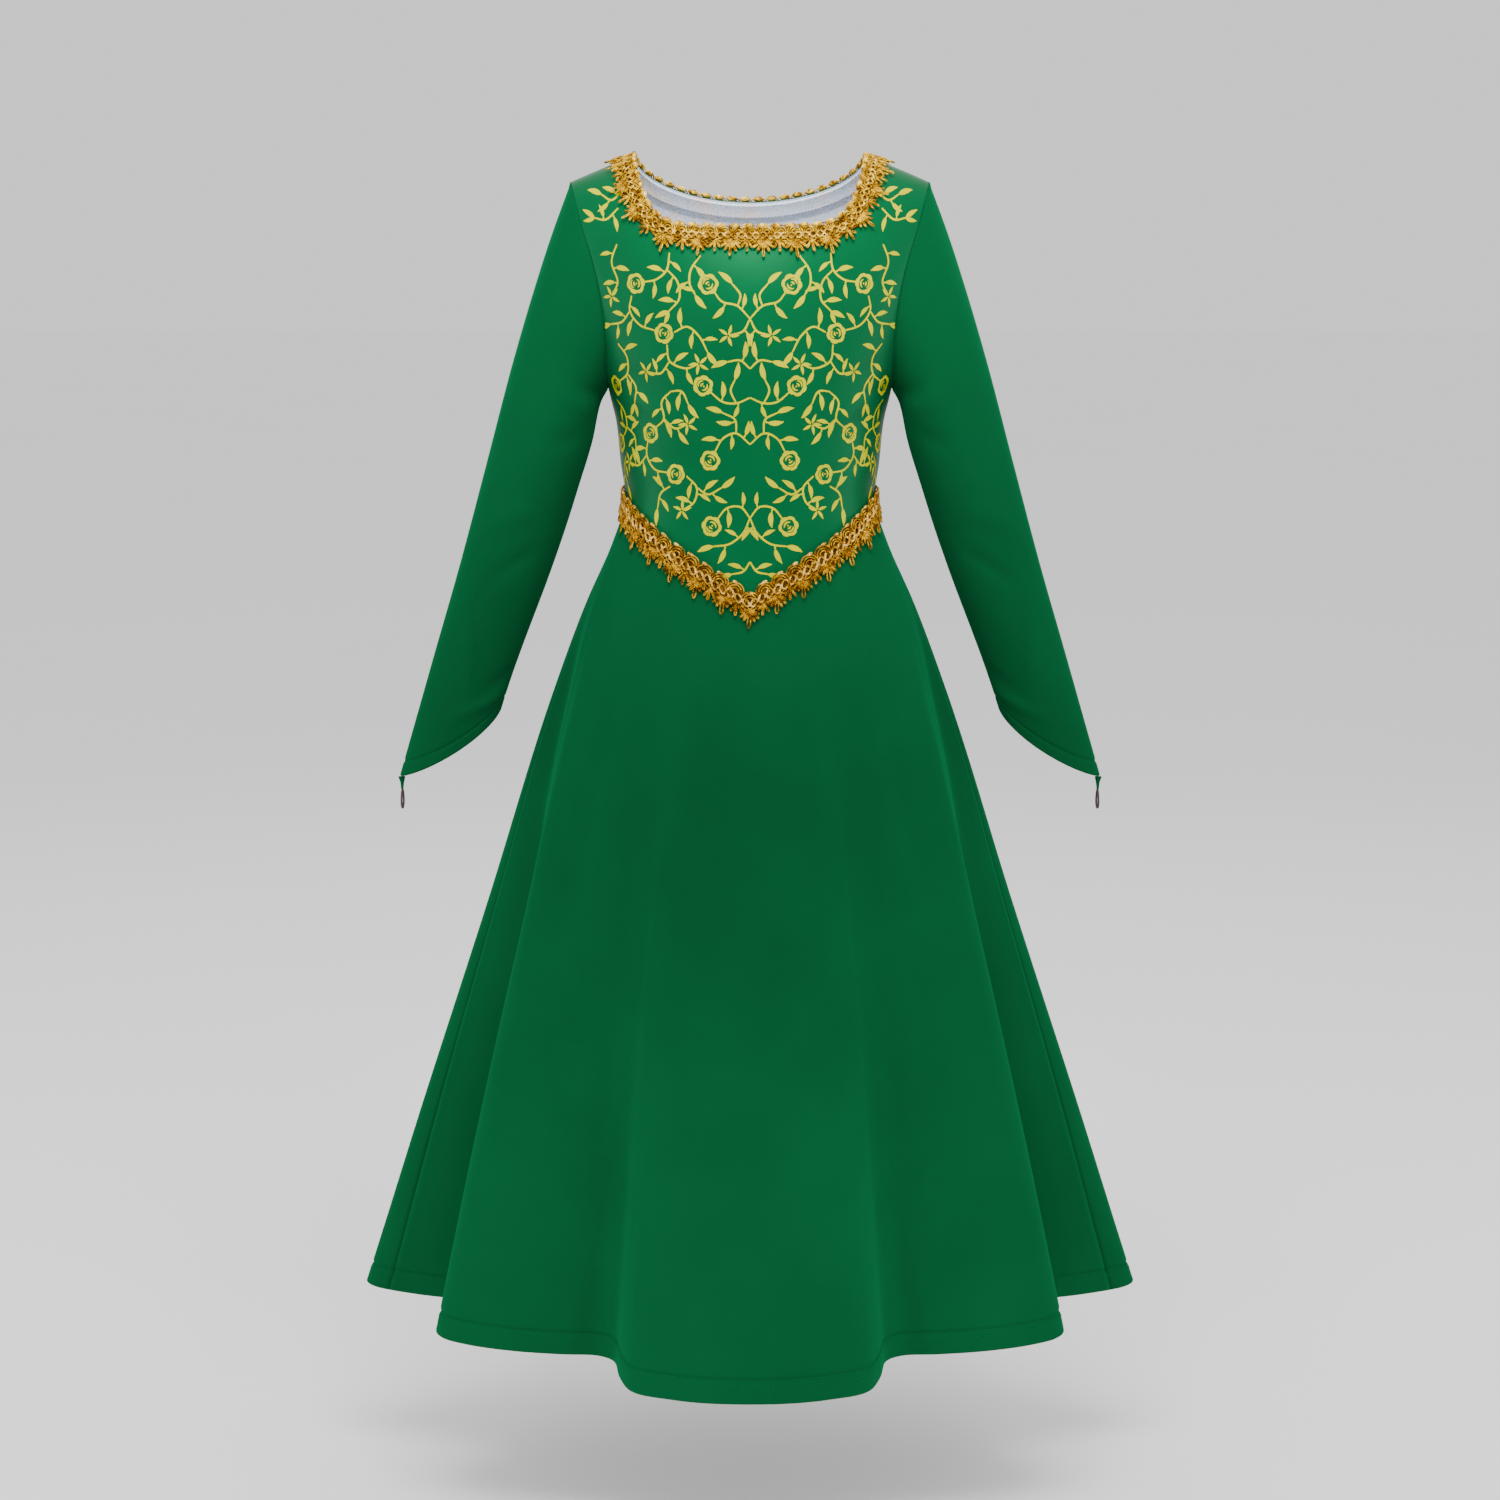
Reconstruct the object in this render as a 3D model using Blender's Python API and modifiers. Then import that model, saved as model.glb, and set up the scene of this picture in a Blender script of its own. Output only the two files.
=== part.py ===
"""A child's long costume dress, filled out as when it is worn.

The origin is midway between the two shoulder seams, at the neck. +Z is up, the front of the
dress faces -Y and the wearer's left sleeve is at +X. Every piece that is cut and sewn is one
solid: its outer face is worked out from the tables below, and its wall goes inwards from there.
"""

import math
from collections import namedtuple

import bpy
import numpy as np

# Cloth and seams, in metres
CLOTH = 0.0012
HEM_CLOTH = 0.0020
SEAM_GAP = 0.0003
TRIM_CLEARANCE = 0.0007
HEM_EDGE = 0.001

# Lengths down from the shoulder at the neck
LENGTH = 0.880
UNDERARM_DOWN = 0.171
SEAM_SIDE_DOWN = 0.2575
SEAM_POINT_DROP = 0.0710
SEAM_POINT_SHARPNESS = 1.45
SEAM_HALF_GAP_DOWN = 0.00018
SKIRT_HEM = 0.016
SKIRT_EDGE_COLUMN = 0.12

# Neckline and shoulders
NECK_HALF = 0.0863
NECK_FRONT_DOWN = 0.0525
NECK_FRONT_SQUARENESS = 8
NECK_FRONT_FLATNESS = 0.94
NECK_BACK_DOWN = 0.0322
NECK_BACK_ROUNDNESS = 0.6
NECK_RIDGE_REACH = 0.45
SHOULDER_HALF = 0.1334
SHOULDER_DOWN = 0.0183
SHOULDER_SLOPE = 0.437
SHOULDER_SOFTNESS = 0.012
FACING_TOP = 0.0008
FACING_WIDTH = 0.0115
FACING_END = 0.002
FACING_CLOTH = 0.0010
FACING_CLEARANCE = 0.0012

FRONT, BACK = -1, 1
ROUNDING = {FRONT: 0.120, BACK: 0.100}
ARMHOLE_REACH = {FRONT: 0.045, BACK: 0.042}

# Horizontal sections of bodice and skirt, without the skirt's folds
Section = namedtuple("Section", "down half_width front back")
SECTIONS = (
    Section(down=0.0183, half_width=0.1334, front=0.0800, back=0.0740),
    Section(down=0.0500, half_width=0.1243, front=0.0825, back=0.0765),
    Section(down=0.0760, half_width=0.1162, front=0.0845, back=0.0785),
    Section(down=0.1040, half_width=0.1100, front=0.0855, back=0.0795),
    Section(down=0.1350, half_width=0.1070, front=0.0858, back=0.0795),
    Section(down=0.1710, half_width=0.1064, front=0.0845, back=0.0775),
    Section(down=0.1950, half_width=0.1010, front=0.0825, back=0.0750),
    Section(down=0.2250, half_width=0.0979, front=0.0795, back=0.0710),
    Section(down=0.2575, half_width=0.0948, front=0.0785, back=0.0690),
    Section(down=0.2850, half_width=0.1035, front=0.0805, back=0.0725),
    Section(down=0.3320, half_width=0.1235, front=0.0880, back=0.0850),
    Section(down=0.4090, half_width=0.1480, front=0.1045, back=0.1030),
    Section(down=0.5650, half_width=0.1885, front=0.1380, back=0.1370),
    Section(down=0.7250, half_width=0.2285, front=0.1720, back=0.1715),
    Section(down=0.8800, half_width=0.2635, front=0.2050, back=0.2050),
)

# Folds of the skirt at its hem, the same on both sides: the angle is 0 at the centre front and
# 180 at the centre back, and out is how far the cloth stands out, as a share of the section
Fold = namedtuple("Fold", "angle out")
FOLDS = (
    Fold(angle=0.0, out=0.195),
    Fold(angle=10.5, out=0.170),
    Fold(angle=17.6, out=0.105),
    Fold(angle=20.6, out=0.020),
    Fold(angle=26.0, out=-0.130),
    Fold(angle=31.0, out=-0.165),
    Fold(angle=37.0, out=-0.120),
    Fold(angle=46.0, out=-0.045),
    Fold(angle=53.0, out=0.005),
    Fold(angle=58.5, out=0.030),
    Fold(angle=64.0, out=0.010),
    Fold(angle=70.0, out=-0.090),
    Fold(angle=76.0, out=-0.175),
    Fold(angle=82.5, out=-0.130),
    Fold(angle=87.5, out=0.010),
    Fold(angle=92.0, out=0.130),
    Fold(angle=96.0, out=0.168),
    Fold(angle=101.0, out=0.115),
    Fold(angle=107.0, out=-0.050),
    Fold(angle=114.0, out=-0.160),
    Fold(angle=123.0, out=-0.110),
    Fold(angle=135.0, out=0.090),
    Fold(angle=143.0, out=0.150),
    Fold(angle=151.0, out=0.070),
    Fold(angle=161.0, out=-0.120),
    Fold(angle=169.0, out=-0.080),
    Fold(angle=180.0, out=0.110),
)
FOLD_START = 0.25

# Stations down a sleeve: the outer and the inner edge seen from the front, and half its depth
Station = namedtuple("Station", "along outer_x outer_down inner_x inner_down depth")
STATIONS = (
    Station(0.0000, 0.1334, 0.0183, 0.1064, 0.1710, 0.0450),
    Station(0.0226, 0.1453, 0.0492, 0.1122, 0.1815, 0.0440),
    Station(0.0606, 0.1600, 0.0920, 0.1190, 0.2110, 0.0410),
    Station(0.1077, 0.1779, 0.1500, 0.1290, 0.2430, 0.0370),
    Station(0.1635, 0.1980, 0.2230, 0.1400, 0.2770, 0.0330),
    Station(0.2106, 0.2153, 0.2857, 0.1510, 0.3080, 0.0300),
    Station(0.3065, 0.2426, 0.3777, 0.1842, 0.3960, 0.0225),
    Station(0.3995, 0.2691, 0.4668, 0.2110, 0.4846, 0.0180),
)
SLEEVE_LIP = 0.0016
SLEEVE_SEAM_GAP = 0.0006
SLEEVE_HEM = 0.012
SLEEVE_ROUND_FROM = 0.06
SLEEVE_EVEN_FROM = 0.10
CUFF_RISE = 0.0720
CUFF_ROUNDNESS = 1.1
CUFF_CORNER = 0.36

# The tab under the sleeve's point and the elastic finger loop sewn into it
TAB_LENGTH = 0.0100
TAB_INSET = 0.0017
TAB_DROP = 0.0010
TAB_HALF_WIDTH = 0.0032
TAB_HALF_DEPTH = 0.0024
TAB_SIDES = 12
TabRing = namedtuple("TabRing", "down share")
TAB_RINGS = (
    TabRing(down=0.0000, share=0.70),
    TabRing(down=0.0012, share=1.00),
    TabRing(down=0.0050, share=0.92),
    TabRing(down=TAB_LENGTH, share=0.78),
)
ELASTIC = 0.0020
LOOP_POINTS = 25

# The front half of the finger loop's route, from the tab to its lowest point
LoopPoint = namedtuple("LoopPoint", "step forward down")
LOOP_ROUTE = (
    LoopPoint(step=0, forward=0.0014, down=0.0000),
    LoopPoint(step=1, forward=0.0020, down=0.0016),
    LoopPoint(step=2, forward=0.0037, down=0.0040),
    LoopPoint(step=3, forward=0.0050, down=0.0072),
    LoopPoint(step=4, forward=0.0047, down=0.0104),
    LoopPoint(step=5, forward=0.0028, down=0.0130),
    LoopPoint(step=6, forward=0.0000, down=0.0141),
)

# Gold lace: its upper edge and the tips of its scallops, measured from the seam or neck edge
Lace = namedtuple("Lace", "scallops upper header lower scallop_depth thickness")
WAIST_LACE = Lace(26, upper=-0.0115, header=0.0030, lower=0.0110, scallop_depth=0.0035, thickness=0.0022)
NECK_LACE = Lace(24, upper=-0.0010, header=0.0110, lower=0.0190, scallop_depth=0.0035, thickness=0.0022)
NECK_LACE_MIDDLE = 0.005
COLUMNS_PER_SCALLOP = 4
WAIST_RADIUS = 0.090
SLANT_WINDOW = 4.0

# How much closer together the rows of faces lie at the top of each piece
BODICE_ROW_BIAS = 1.25
SKIRT_ROW_BIAS = 1.7
SLEEVE_ROW_BIAS = 1.1

# Colour, roughness and metallic value of each material
FINISHES = {
    "printed_satin": ((0.010, 0.150, 0.062, 1.0), 0.45, 0.0),
    "green_knit": ((0.008, 0.130, 0.052, 1.0), 0.60, 0.0),
    "facing_cloth": ((0.560, 0.590, 0.640, 1.0), 0.80, 0.0),
    "neck_gold": ((0.780, 0.430, 0.070, 1.0), 0.45, 0.4),
    "waist_gold": ((0.560, 0.290, 0.070, 1.0), 0.45, 0.4),
    "elastic": ((0.050, 0.025, 0.030, 1.0), 0.70, 0.0),
}


def fold_out(angle):
    """How far the skirt stands out at its hem, the same on both sides and level at both centres."""
    before = [Fold(-row.angle, row.out) for row in FOLDS[3:0:-1]]
    beyond = [Fold(360 - row.angle, row.out) for row in FOLDS[-2:-5:-1]]
    return smooth(before + list(FOLDS) + beyond, "out", np.abs(angle))


def smooth(table, column, at):
    """A soft curve through one column of a table, against the table's first column."""
    xs = np.array([row[0] for row in table])
    ys = np.array([getattr(row, column) for row in table])
    slopes = np.gradient(ys, xs)
    at = np.clip(at, xs[0], xs[-1])
    i = np.clip(np.searchsorted(xs, at) - 1, 0, len(xs) - 2)
    step = xs[i + 1] - xs[i]
    t = (at - xs[i]) / step
    start = (1 + 2 * t) * (1 - t) ** 2 * ys[i] + t * (1 - t) ** 2 * step * slopes[i]
    end = t * t * (3 - 2 * t) * ys[i + 1] + t * t * (t - 1) * step * slopes[i + 1]
    return start + end


def ease(t):
    """0 to 1 with level ends."""
    t = np.clip(t, 0, 1)
    return t * t * (3 - 2 * t)


def shoulder_drop(x):
    """How far the shoulder seam lies below the neck, this far from the centre."""
    out = np.abs(x) - NECK_HALF
    rise = (out + np.sqrt(out**2 + SHOULDER_SOFTNESS**2)) / 2
    return SHOULDER_SLOPE * (rise - SHOULDER_SOFTNESS / 2)


def over_shoulder(side, x, down):
    """0 on the shoulder seam and 1 where the chest or back has its full depth."""
    t = np.clip((down - shoulder_drop(x)) / ROUNDING[side], 0, 1)
    return np.sqrt(1 - (1 - t) ** 2)


def depth_of(side, down):
    return smooth(SECTIONS, "front" if side == FRONT else "back", down)


def bodice_edge(side, down):
    """The angle at which the panel ends, at armhole or side seam, and the section's spread."""
    at = np.maximum(down, SHOULDER_DOWN + 0.001)
    half = smooth(SECTIONS, "half_width", at)
    share = np.clip((UNDERARM_DOWN - at) / (UNDERARM_DOWN - SHOULDER_DOWN), 0, 1)
    reach = ARMHOLE_REACH[side] * np.sqrt(np.clip(1 - (2 * share - 1) ** 2, 0, 1))
    full = depth_of(side, at) * over_shoulder(side, half, at)
    angle = np.arccos(np.clip(reach / full, 0, 1))
    return angle, smooth(SECTIONS, "half_width", down) / np.sin(angle)


def bodice_depth(side, x, down):
    """How far the bodice stands from the middle plane at this place, as seen from the front."""
    spread = bodice_edge(side, down)[1]
    across = np.sqrt(np.clip(1 - (x / spread) ** 2, 0, 1))
    return depth_of(side, down) * across * over_shoulder(side, x, down)


def seam_down(angle):
    """The waist seam: pointed at the centre front, level round the back. Degrees."""
    ahead = np.clip(1 - np.abs(angle) / 90, 0, 1)
    return SEAM_SIDE_DOWN + SEAM_POINT_DROP * ahead**SEAM_POINT_SHARPNESS


def neck_down(side, x):
    """The neck edge: squared in front, scooped at the back."""
    u = np.clip(np.abs(x) / NECK_HALF, 0, 1)
    if side == FRONT:
        square, round_edge = 1 - u**NECK_FRONT_SQUARENESS, 1 - u * u
        return NECK_FRONT_DOWN * (round_edge + NECK_FRONT_FLATNESS * (square - round_edge))
    return NECK_BACK_DOWN * (1 - u * u) ** NECK_BACK_ROUNDNESS


def top_line(side, count):
    """Points from the left shoulder tip, along shoulder and neck edge, to the right tip."""
    q = np.linspace(0, 1, 400)
    neck_x = NECK_HALF * (1 - q * q)
    shoulder_x = np.linspace(SHOULDER_HALF, NECK_HALF, 120)[:-1]
    x = np.concatenate([shoulder_x, neck_x])
    down = np.concatenate([shoulder_drop(shoulder_x), neck_down(side, neck_x)])
    length = np.concatenate([[0], np.cumsum(np.hypot(np.diff(x), np.diff(down)))])
    at = np.linspace(0, length[-1], count // 2 + 1)
    half_x, half_down = np.interp(at, length, x), np.interp(at, length, down)
    return np.concatenate([-half_x, half_x[-2::-1]]), np.concatenate([half_down, half_down[-2::-1]])


def bodice_panel(side, columns, rows):
    """The outer face of the front or back bodice, as rows of points from the top down."""
    top_x, top_down = top_line(side, columns)
    top_angle, top_spread = bodice_edge(side, top_down)
    top_share = np.arcsin(np.clip(top_x / top_spread, -1, 1)) / top_angle
    bottom_share = np.linspace(-1, 1, columns + 1)
    bottom_angle = bottom_share * 90 if side == FRONT else 180 - bottom_share * 90
    bottom_down = seam_down(bottom_angle) - SEAM_HALF_GAP_DOWN
    v = np.linspace(0, 1, rows + 1)[:, None]
    down = top_down + (bottom_down - top_down) * ease(v) ** BODICE_ROW_BIAS
    share = top_share + (bottom_share - top_share) * ease(v)
    angle, spread = bodice_edge(side, down)
    x = spread * np.sin(share * angle)
    y = depth_of(side, down) * np.cos(share * angle) * over_shoulder(side, x, down)
    return np.stack([x, side * np.hypot(y, SEAM_GAP), -down], axis=-1)


def skirt_face(angle, down):
    """A point of the outer face below the seam. The angle is 0 in front, in degrees."""
    turn = np.radians(angle)
    start = seam_down(angle)
    fall = np.clip((down - start) / (LENGTH - start), 0, 1)
    growth = fall * ease(fall / FOLD_START)
    out = 1 + fold_out(angle) * growth
    depth = np.where(np.cos(turn) >= 0, depth_of(FRONT, down), depth_of(BACK, down))
    x = smooth(SECTIONS, "half_width", down) * np.sin(turn) * out
    return np.stack([x, -depth * np.cos(turn) * out, -down + 0 * x], axis=-1)


def even_angles(start, end, count):
    """Angles from start to end, even along the hem, with a narrow column beside each seam."""
    dense = np.linspace(start, end, 2000)
    hem = skirt_face(turned(dense), np.full_like(dense, LENGTH))
    length = np.concatenate([[0], np.cumsum(np.linalg.norm(np.diff(hem, axis=0), axis=1))])
    inner = np.arange(1, count)
    steps = np.concatenate([[0, SKIRT_EDGE_COLUMN], inner, [count - SKIRT_EDGE_COLUMN, count]])
    return np.interp(steps / count * length[-1], length, dense)


def turned(angle):
    """The same angles from -180 to 180."""
    return np.where(angle > 180, angle - 360, angle)


def side_gap(down):
    """Half the side seam's gap, as an angle: the gap is the same all the way down."""
    one_degree = skirt_face(90.5, down) - skirt_face(89.5, down)
    return SEAM_GAP / 2 / np.linalg.norm(one_degree, axis=-1)


def skirt_panel(side, columns, rows):
    """Half of the skirt from side seam to side seam, and each row's share of hem thickness."""
    middle = 0 if side == FRONT else 180
    angles = even_angles(middle - 90, middle + 90, columns)
    top = seam_down(turned(angles)) + SEAM_HALF_GAP_DOWN
    v = np.linspace(0, 1, rows)[:, None] ** SKIRT_ROW_BIAS
    down = top + (LENGTH - SKIRT_HEM - HEM_EDGE - top) * v
    level = np.ones_like(angles)
    down = np.vstack([down, (LENGTH - SKIRT_HEM) * level, LENGTH * level])
    angles = turned(middle + (angles - middle) * (1 - side_gap(down) / 90))
    thick = np.array([CLOTH] * rows + [HEM_CLOTH] * 2) / HEM_CLOTH
    return skirt_face(angles, down), thick


def sleeve_outline(turn, along):
    """x and down of a place on the left sleeve, between its outer and inner edges."""
    outer_share = (1 + np.cos(turn)) / 2
    outer_x, outer_down = smooth(STATIONS, "outer_x", along), smooth(STATIONS, "outer_down", along)
    inner_x, inner_down = smooth(STATIONS, "inner_x", along), smooth(STATIONS, "inner_down", along)
    x = inner_x + (outer_x - inner_x) * outer_share
    return x, inner_down + (outer_down - inner_down) * outer_share


def sleeve_face(turn, along):
    """A point of the left sleeve. Turn is 0 on the outer edge and 90 in front, in degrees."""
    turn = np.radians(turn)
    x, down = sleeve_outline(turn, along)
    flat_x, seam_level = sleeve_outline(turn, 0 * along)
    armhole_x = smooth(SECTIONS, "half_width", np.clip(seam_level, SHOULDER_DOWN, UNDERARM_DOWN))
    x = x + (armhole_x - flat_x) * (1 - ease(along / SLEEVE_ROUND_FROM))
    depth = smooth(STATIONS, "depth", along)
    back_share = ARMHOLE_REACH[BACK] / ARMHOLE_REACH[FRONT]
    behind = back_share + (1 - back_share) * ease(along / SLEEVE_EVEN_FROM)
    depth = depth * np.where(np.sin(turn) < 0, behind, 1)
    return np.stack([x, -depth * np.sin(turn), -down], axis=-1)


def sleeve_end(turn):
    """How far along the sleeve its cuff ends: a point on the outer edge, short on the inner."""
    from_point = (1 - np.cos(np.radians(turn))) / 2
    slant = from_point**CUFF_ROUNDNESS
    corner = 1 - np.sqrt(np.clip(1 - from_point**2, 0, 1))
    return STATIONS[-1].along - CUFF_RISE * (slant + CUFF_CORNER * (corner - slant))


def sleeve_rows(around, stations):
    """The left sleeve's outer face, from a lip at the armhole seam down to the cuff."""
    turn = np.arange(around) * 360 / around
    end = sleeve_end(turn)
    v = np.linspace(0, 1, stations)[:, None] ** SLEEVE_ROW_BIAS
    along = np.vstack([v * (end - SLEEVE_HEM - HEM_EDGE), end - SLEEVE_HEM, end])
    face = sleeve_face(turn, along)
    lip = face[0] + [SLEEVE_SEAM_GAP, 0, 0]
    face[0] = lip + [SLEEVE_LIP, 0, 0]
    thick = np.array([CLOTH] * (stations + 1) + [HEM_CLOTH] * 2) / HEM_CLOTH
    return np.concatenate([lip[None], face]), thick


def outward(downwards, across):
    """Unit normals of a face from its points' steps down and round to the left sleeve."""
    normal = np.cross(downwards, across)
    return normal / np.linalg.norm(normal, axis=-1, keepdims=True)


def dress_face(angle, down):
    """The outer face near the waist seam, bodice above it and skirt below."""
    side = np.where(np.cos(np.radians(angle)) >= 0, FRONT, BACK)
    turn = np.radians(angle)
    depth = np.where(side == FRONT, depth_of(FRONT, down), depth_of(BACK, down))
    half = smooth(SECTIONS, "half_width", down)
    above = np.stack([half * np.sin(turn), -depth * np.cos(turn), -down + 0 * turn], axis=-1)
    return np.where((down < seam_down(angle))[..., None], above, skirt_face(angle, down))


def waist_lace_face(out):
    """Rows of the waist lace from its upper edge to its scallops, this far out from the cloth."""
    count = WAIST_LACE.scallops * COLUMNS_PER_SCALLOP
    dense = np.linspace(-180, 180, 3000)
    line = dress_face(dense, seam_down(dense))
    length = np.concatenate([[0], np.cumsum(np.linalg.norm(np.diff(line, axis=0), axis=1))])
    angle = np.interp(np.arange(count) / count * length[-1], length, dense)
    wave = np.cos(np.arange(count) / COLUMNS_PER_SCALLOP * 2 * math.pi)
    reach = WAIST_LACE.lower + WAIST_LACE.scallop_depth * wave
    drop = seam_down(angle + SLANT_WINDOW) - seam_down(angle - SLANT_WINDOW)
    stretch = np.sqrt(1 + (drop / np.radians(2 * SLANT_WINDOW) / WAIST_RADIUS) ** 2)
    width = np.stack([np.full(count, WAIST_LACE.upper), np.full(count, WAIST_LACE.header), reach])
    down = seam_down(angle) + width * stretch
    step = 0.2
    across = dress_face(angle + step, down) - dress_face(angle - step, down)
    below = dress_face(angle, down + 0.001) - dress_face(angle, down - 0.001)
    return dress_face(angle, down) + outward(below, across) * out


def neck_ring(count):
    """Even places round the neck edge: side, x, down, the way out and how near the shoulder."""
    q = np.linspace(0, 1, 600)
    parts = []
    for side, sign, order in ((FRONT, -1, 1), (FRONT, 1, -1), (BACK, 1, 1), (BACK, -1, -1)):
        x = NECK_HALF * (1 - q * q)
        down = neck_down(side, x)
        slope_x, slope_down = np.gradient(x), np.gradient(down)
        out = np.stack([slope_down, -slope_x], axis=-1)
        out /= np.linalg.norm(out, axis=-1, keepdims=True)
        ridge = np.array([1, SHOULDER_SLOPE]) / math.hypot(1, SHOULDER_SLOPE)
        blend = ease(1 - q / NECK_RIDGE_REACH)
        out = out * (1 - blend[:, None]) + ridge * blend[:, None]
        out /= np.linalg.norm(out, axis=-1, keepdims=True)
        row = np.stack([side + 0 * x, sign * x, down, sign * out[:, 0], out[:, 1], blend], axis=-1)
        parts.append(row[::order])
    ring = np.concatenate(parts)
    points = np.stack([ring[:, 1], neck_y(ring, 0), -ring[:, 2]], axis=-1)
    length = np.concatenate([[0], np.cumsum(np.linalg.norm(np.diff(points, axis=0), axis=1))])
    at = np.arange(count) / count * length[-1]
    even = np.stack([np.interp(at, length, ring[:, k]) for k in range(6)], axis=-1)
    even[:, 0] = np.where(even[:, 0] < 0, FRONT, BACK)
    return even


def neck_place(ring, width):
    """x and down of places this far out from the neck edge, kept on the cloth."""
    x = ring[:, 1] + ring[:, 3] * width
    straight = ring[:, 2] + ring[:, 4] * width
    along_ridge = ring[:, 2] + shoulder_drop(x) - shoulder_drop(ring[:, 1])
    down = straight + (along_ridge - straight) * ring[:, 5]
    return x, np.maximum(down, shoulder_drop(x))


def neck_y(ring, width):
    x, down = neck_place(ring, width)
    front, back = bodice_depth(FRONT, x, down), bodice_depth(BACK, x, down)
    return np.where(ring[:, 0] < 0, -front, back)


def neck_band_face(ring, widths, out, closed=True):
    """Rows of a band along the neck edge, moved out from the bodice's face, or in if negative."""
    rows = []
    for width in widths:
        x, down = neck_place(ring, width)
        rows.append(np.stack([x, neck_y(ring, width), -down], axis=-1))
    rows = np.stack(rows)
    across = np.roll(rows, -1, 1) - np.roll(rows, 1, 1)
    if not closed:
        across[:, 0], across[:, -1] = across[:, 1], across[:, -2]
    below = np.gradient(rows, axis=0)
    return rows + outward(below, across) * out


def neck_lace_face(out):
    count = NECK_LACE.scallops * COLUMNS_PER_SCALLOP
    wave = np.cos(np.arange(count) / COLUMNS_PER_SCALLOP * 2 * math.pi)
    reach = NECK_LACE.lower + NECK_LACE.scallop_depth * wave
    widths = (NECK_LACE.upper, NECK_LACE_MIDDLE, NECK_LACE.header, reach)
    return neck_band_face(neck_ring(count), widths, out)


def facing_face():
    """The turned-in band inside the back neck, the only stretch of it that shows."""
    ring = neck_ring(84)
    ring = ring[ring[:, 0] == BACK]
    ring = ring[np.abs(ring[:, 1]) < NECK_HALF - FACING_END]
    inside = -(CLOTH + FACING_CLEARANCE)
    return neck_band_face(ring, (FACING_TOP, FACING_WIDTH / 2, FACING_WIDTH), inside, closed=False)


def material(name):
    colour, roughness, metallic = FINISHES[name]
    made = bpy.data.materials.get(name) or bpy.data.materials.new(name)
    made.use_nodes = True
    shader = made.node_tree.nodes["Principled BSDF"]
    shader.inputs["Base Color"].default_value = colour
    shader.inputs["Roughness"].default_value = roughness
    shader.inputs["Metallic"].default_value = metallic
    made.diffuse_color = colour
    return made


def add_object(name, data, finish, holder):
    """Links an object with its material, carried by the empty at the shoulders."""
    made = bpy.data.objects.new(name, data)
    data.materials.append(material(finish))
    made.parent = holder
    bpy.context.scene.collection.children["costume_dress"].objects.link(made)
    return made


def wall(name, rows, finish, holder, thickness, closed=False, thick=None):
    """A lofted open surface given its thickness on the inner side by Solidify.

    The rows are the outer face from the top down, each running the same way round. Thick
    is each row's share of the thickness.
    """
    count_rows, count = rows.shape[:2]
    faces = []
    for i in range(count_rows - 1):
        for j in range(count if closed else count - 1):
            k = (j + 1) % count
            faces.append((i * count + j, (i + 1) * count + j, (i + 1) * count + k, i * count + k))
    mesh = bpy.data.meshes.new(name)
    mesh.from_pydata(rows.reshape(-1, 3).tolist(), [], faces)
    mesh.update()
    mesh.shade_smooth()
    made = add_object(name, mesh, finish, holder)
    solid = made.modifiers.new("thickness", "SOLIDIFY")
    solid.thickness = thickness
    solid.offset = -1
    solid.use_even_offset = True
    if thick is not None:
        group = made.vertex_groups.new(name="thickness")
        for i, share in enumerate(thick):
            group.add(list(range(i * count, (i + 1) * count)), float(share), "REPLACE")
        solid.vertex_group = group.name
    return made


def mirrored(rows):
    """The same piece on the wearer's other side, with its faces still pointing out."""
    return (rows * [-1, 1, 1])[:, ::-1]


def tab_top(sign):
    """x and z where the tab begins, just below the sleeve's point."""
    x, _, z = sleeve_face(np.array([0.0]), np.array([STATIONS[-1].along]))[0]
    return sign * (x - TAB_INSET), z - TAB_DROP


def tab(name, sign, holder):
    """The small folded tab below the sleeve's point, as a lofted bar with round ends."""
    centre, top = tab_top(sign)
    count = TAB_SIDES
    verts, faces = [], []
    for ring in TAB_RINGS:
        for k in range(count):
            turn = 2 * math.pi * k / count
            x = centre + TAB_HALF_WIDTH * ring.share * math.cos(turn)
            verts.append((x, TAB_HALF_DEPTH * ring.share * math.sin(turn), top - ring.down))
    for i in range(len(TAB_RINGS) - 1):
        for j in range(count):
            k = (j + 1) % count
            faces.append((i * count + j, (i + 1) * count + j, (i + 1) * count + k, i * count + k))
    faces.append(tuple(range(count)))
    faces.append(tuple(range(len(verts) - 1, len(verts) - count - 1, -1)))
    mesh = bpy.data.meshes.new(name)
    mesh.from_pydata(verts, [], faces)
    return add_object(name, mesh, "green_knit", holder)


def finger_loop(name, sign, holder):
    """A round elastic hanging as a loop, both ends under the tab, seen edge-on from the front."""
    centre, top = tab_top(sign)
    top = top - TAB_LENGTH - SEAM_GAP
    last = 2 * LOOP_ROUTE[-1].step
    behind = [LoopPoint(last - p.step, -p.forward, p.down) for p in LOOP_ROUTE[-2::-1]]
    route = list(LOOP_ROUTE) + behind
    at = np.linspace(0, last, LOOP_POINTS)
    y, drop = -smooth(route, "forward", at), smooth(route, "down", at)
    curve = bpy.data.curves.new(name, "CURVE")
    curve.dimensions = "3D"
    curve.bevel_depth = ELASTIC / 2
    curve.bevel_resolution = 1
    curve.use_fill_caps = True
    spline = curve.splines.new("POLY")
    spline.points.add(len(at) - 1)
    for k, place in enumerate(spline.points):
        place.co = (centre, y[k], top - drop[k], 1)
    return add_object(name, curve, "elastic", holder)


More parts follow.
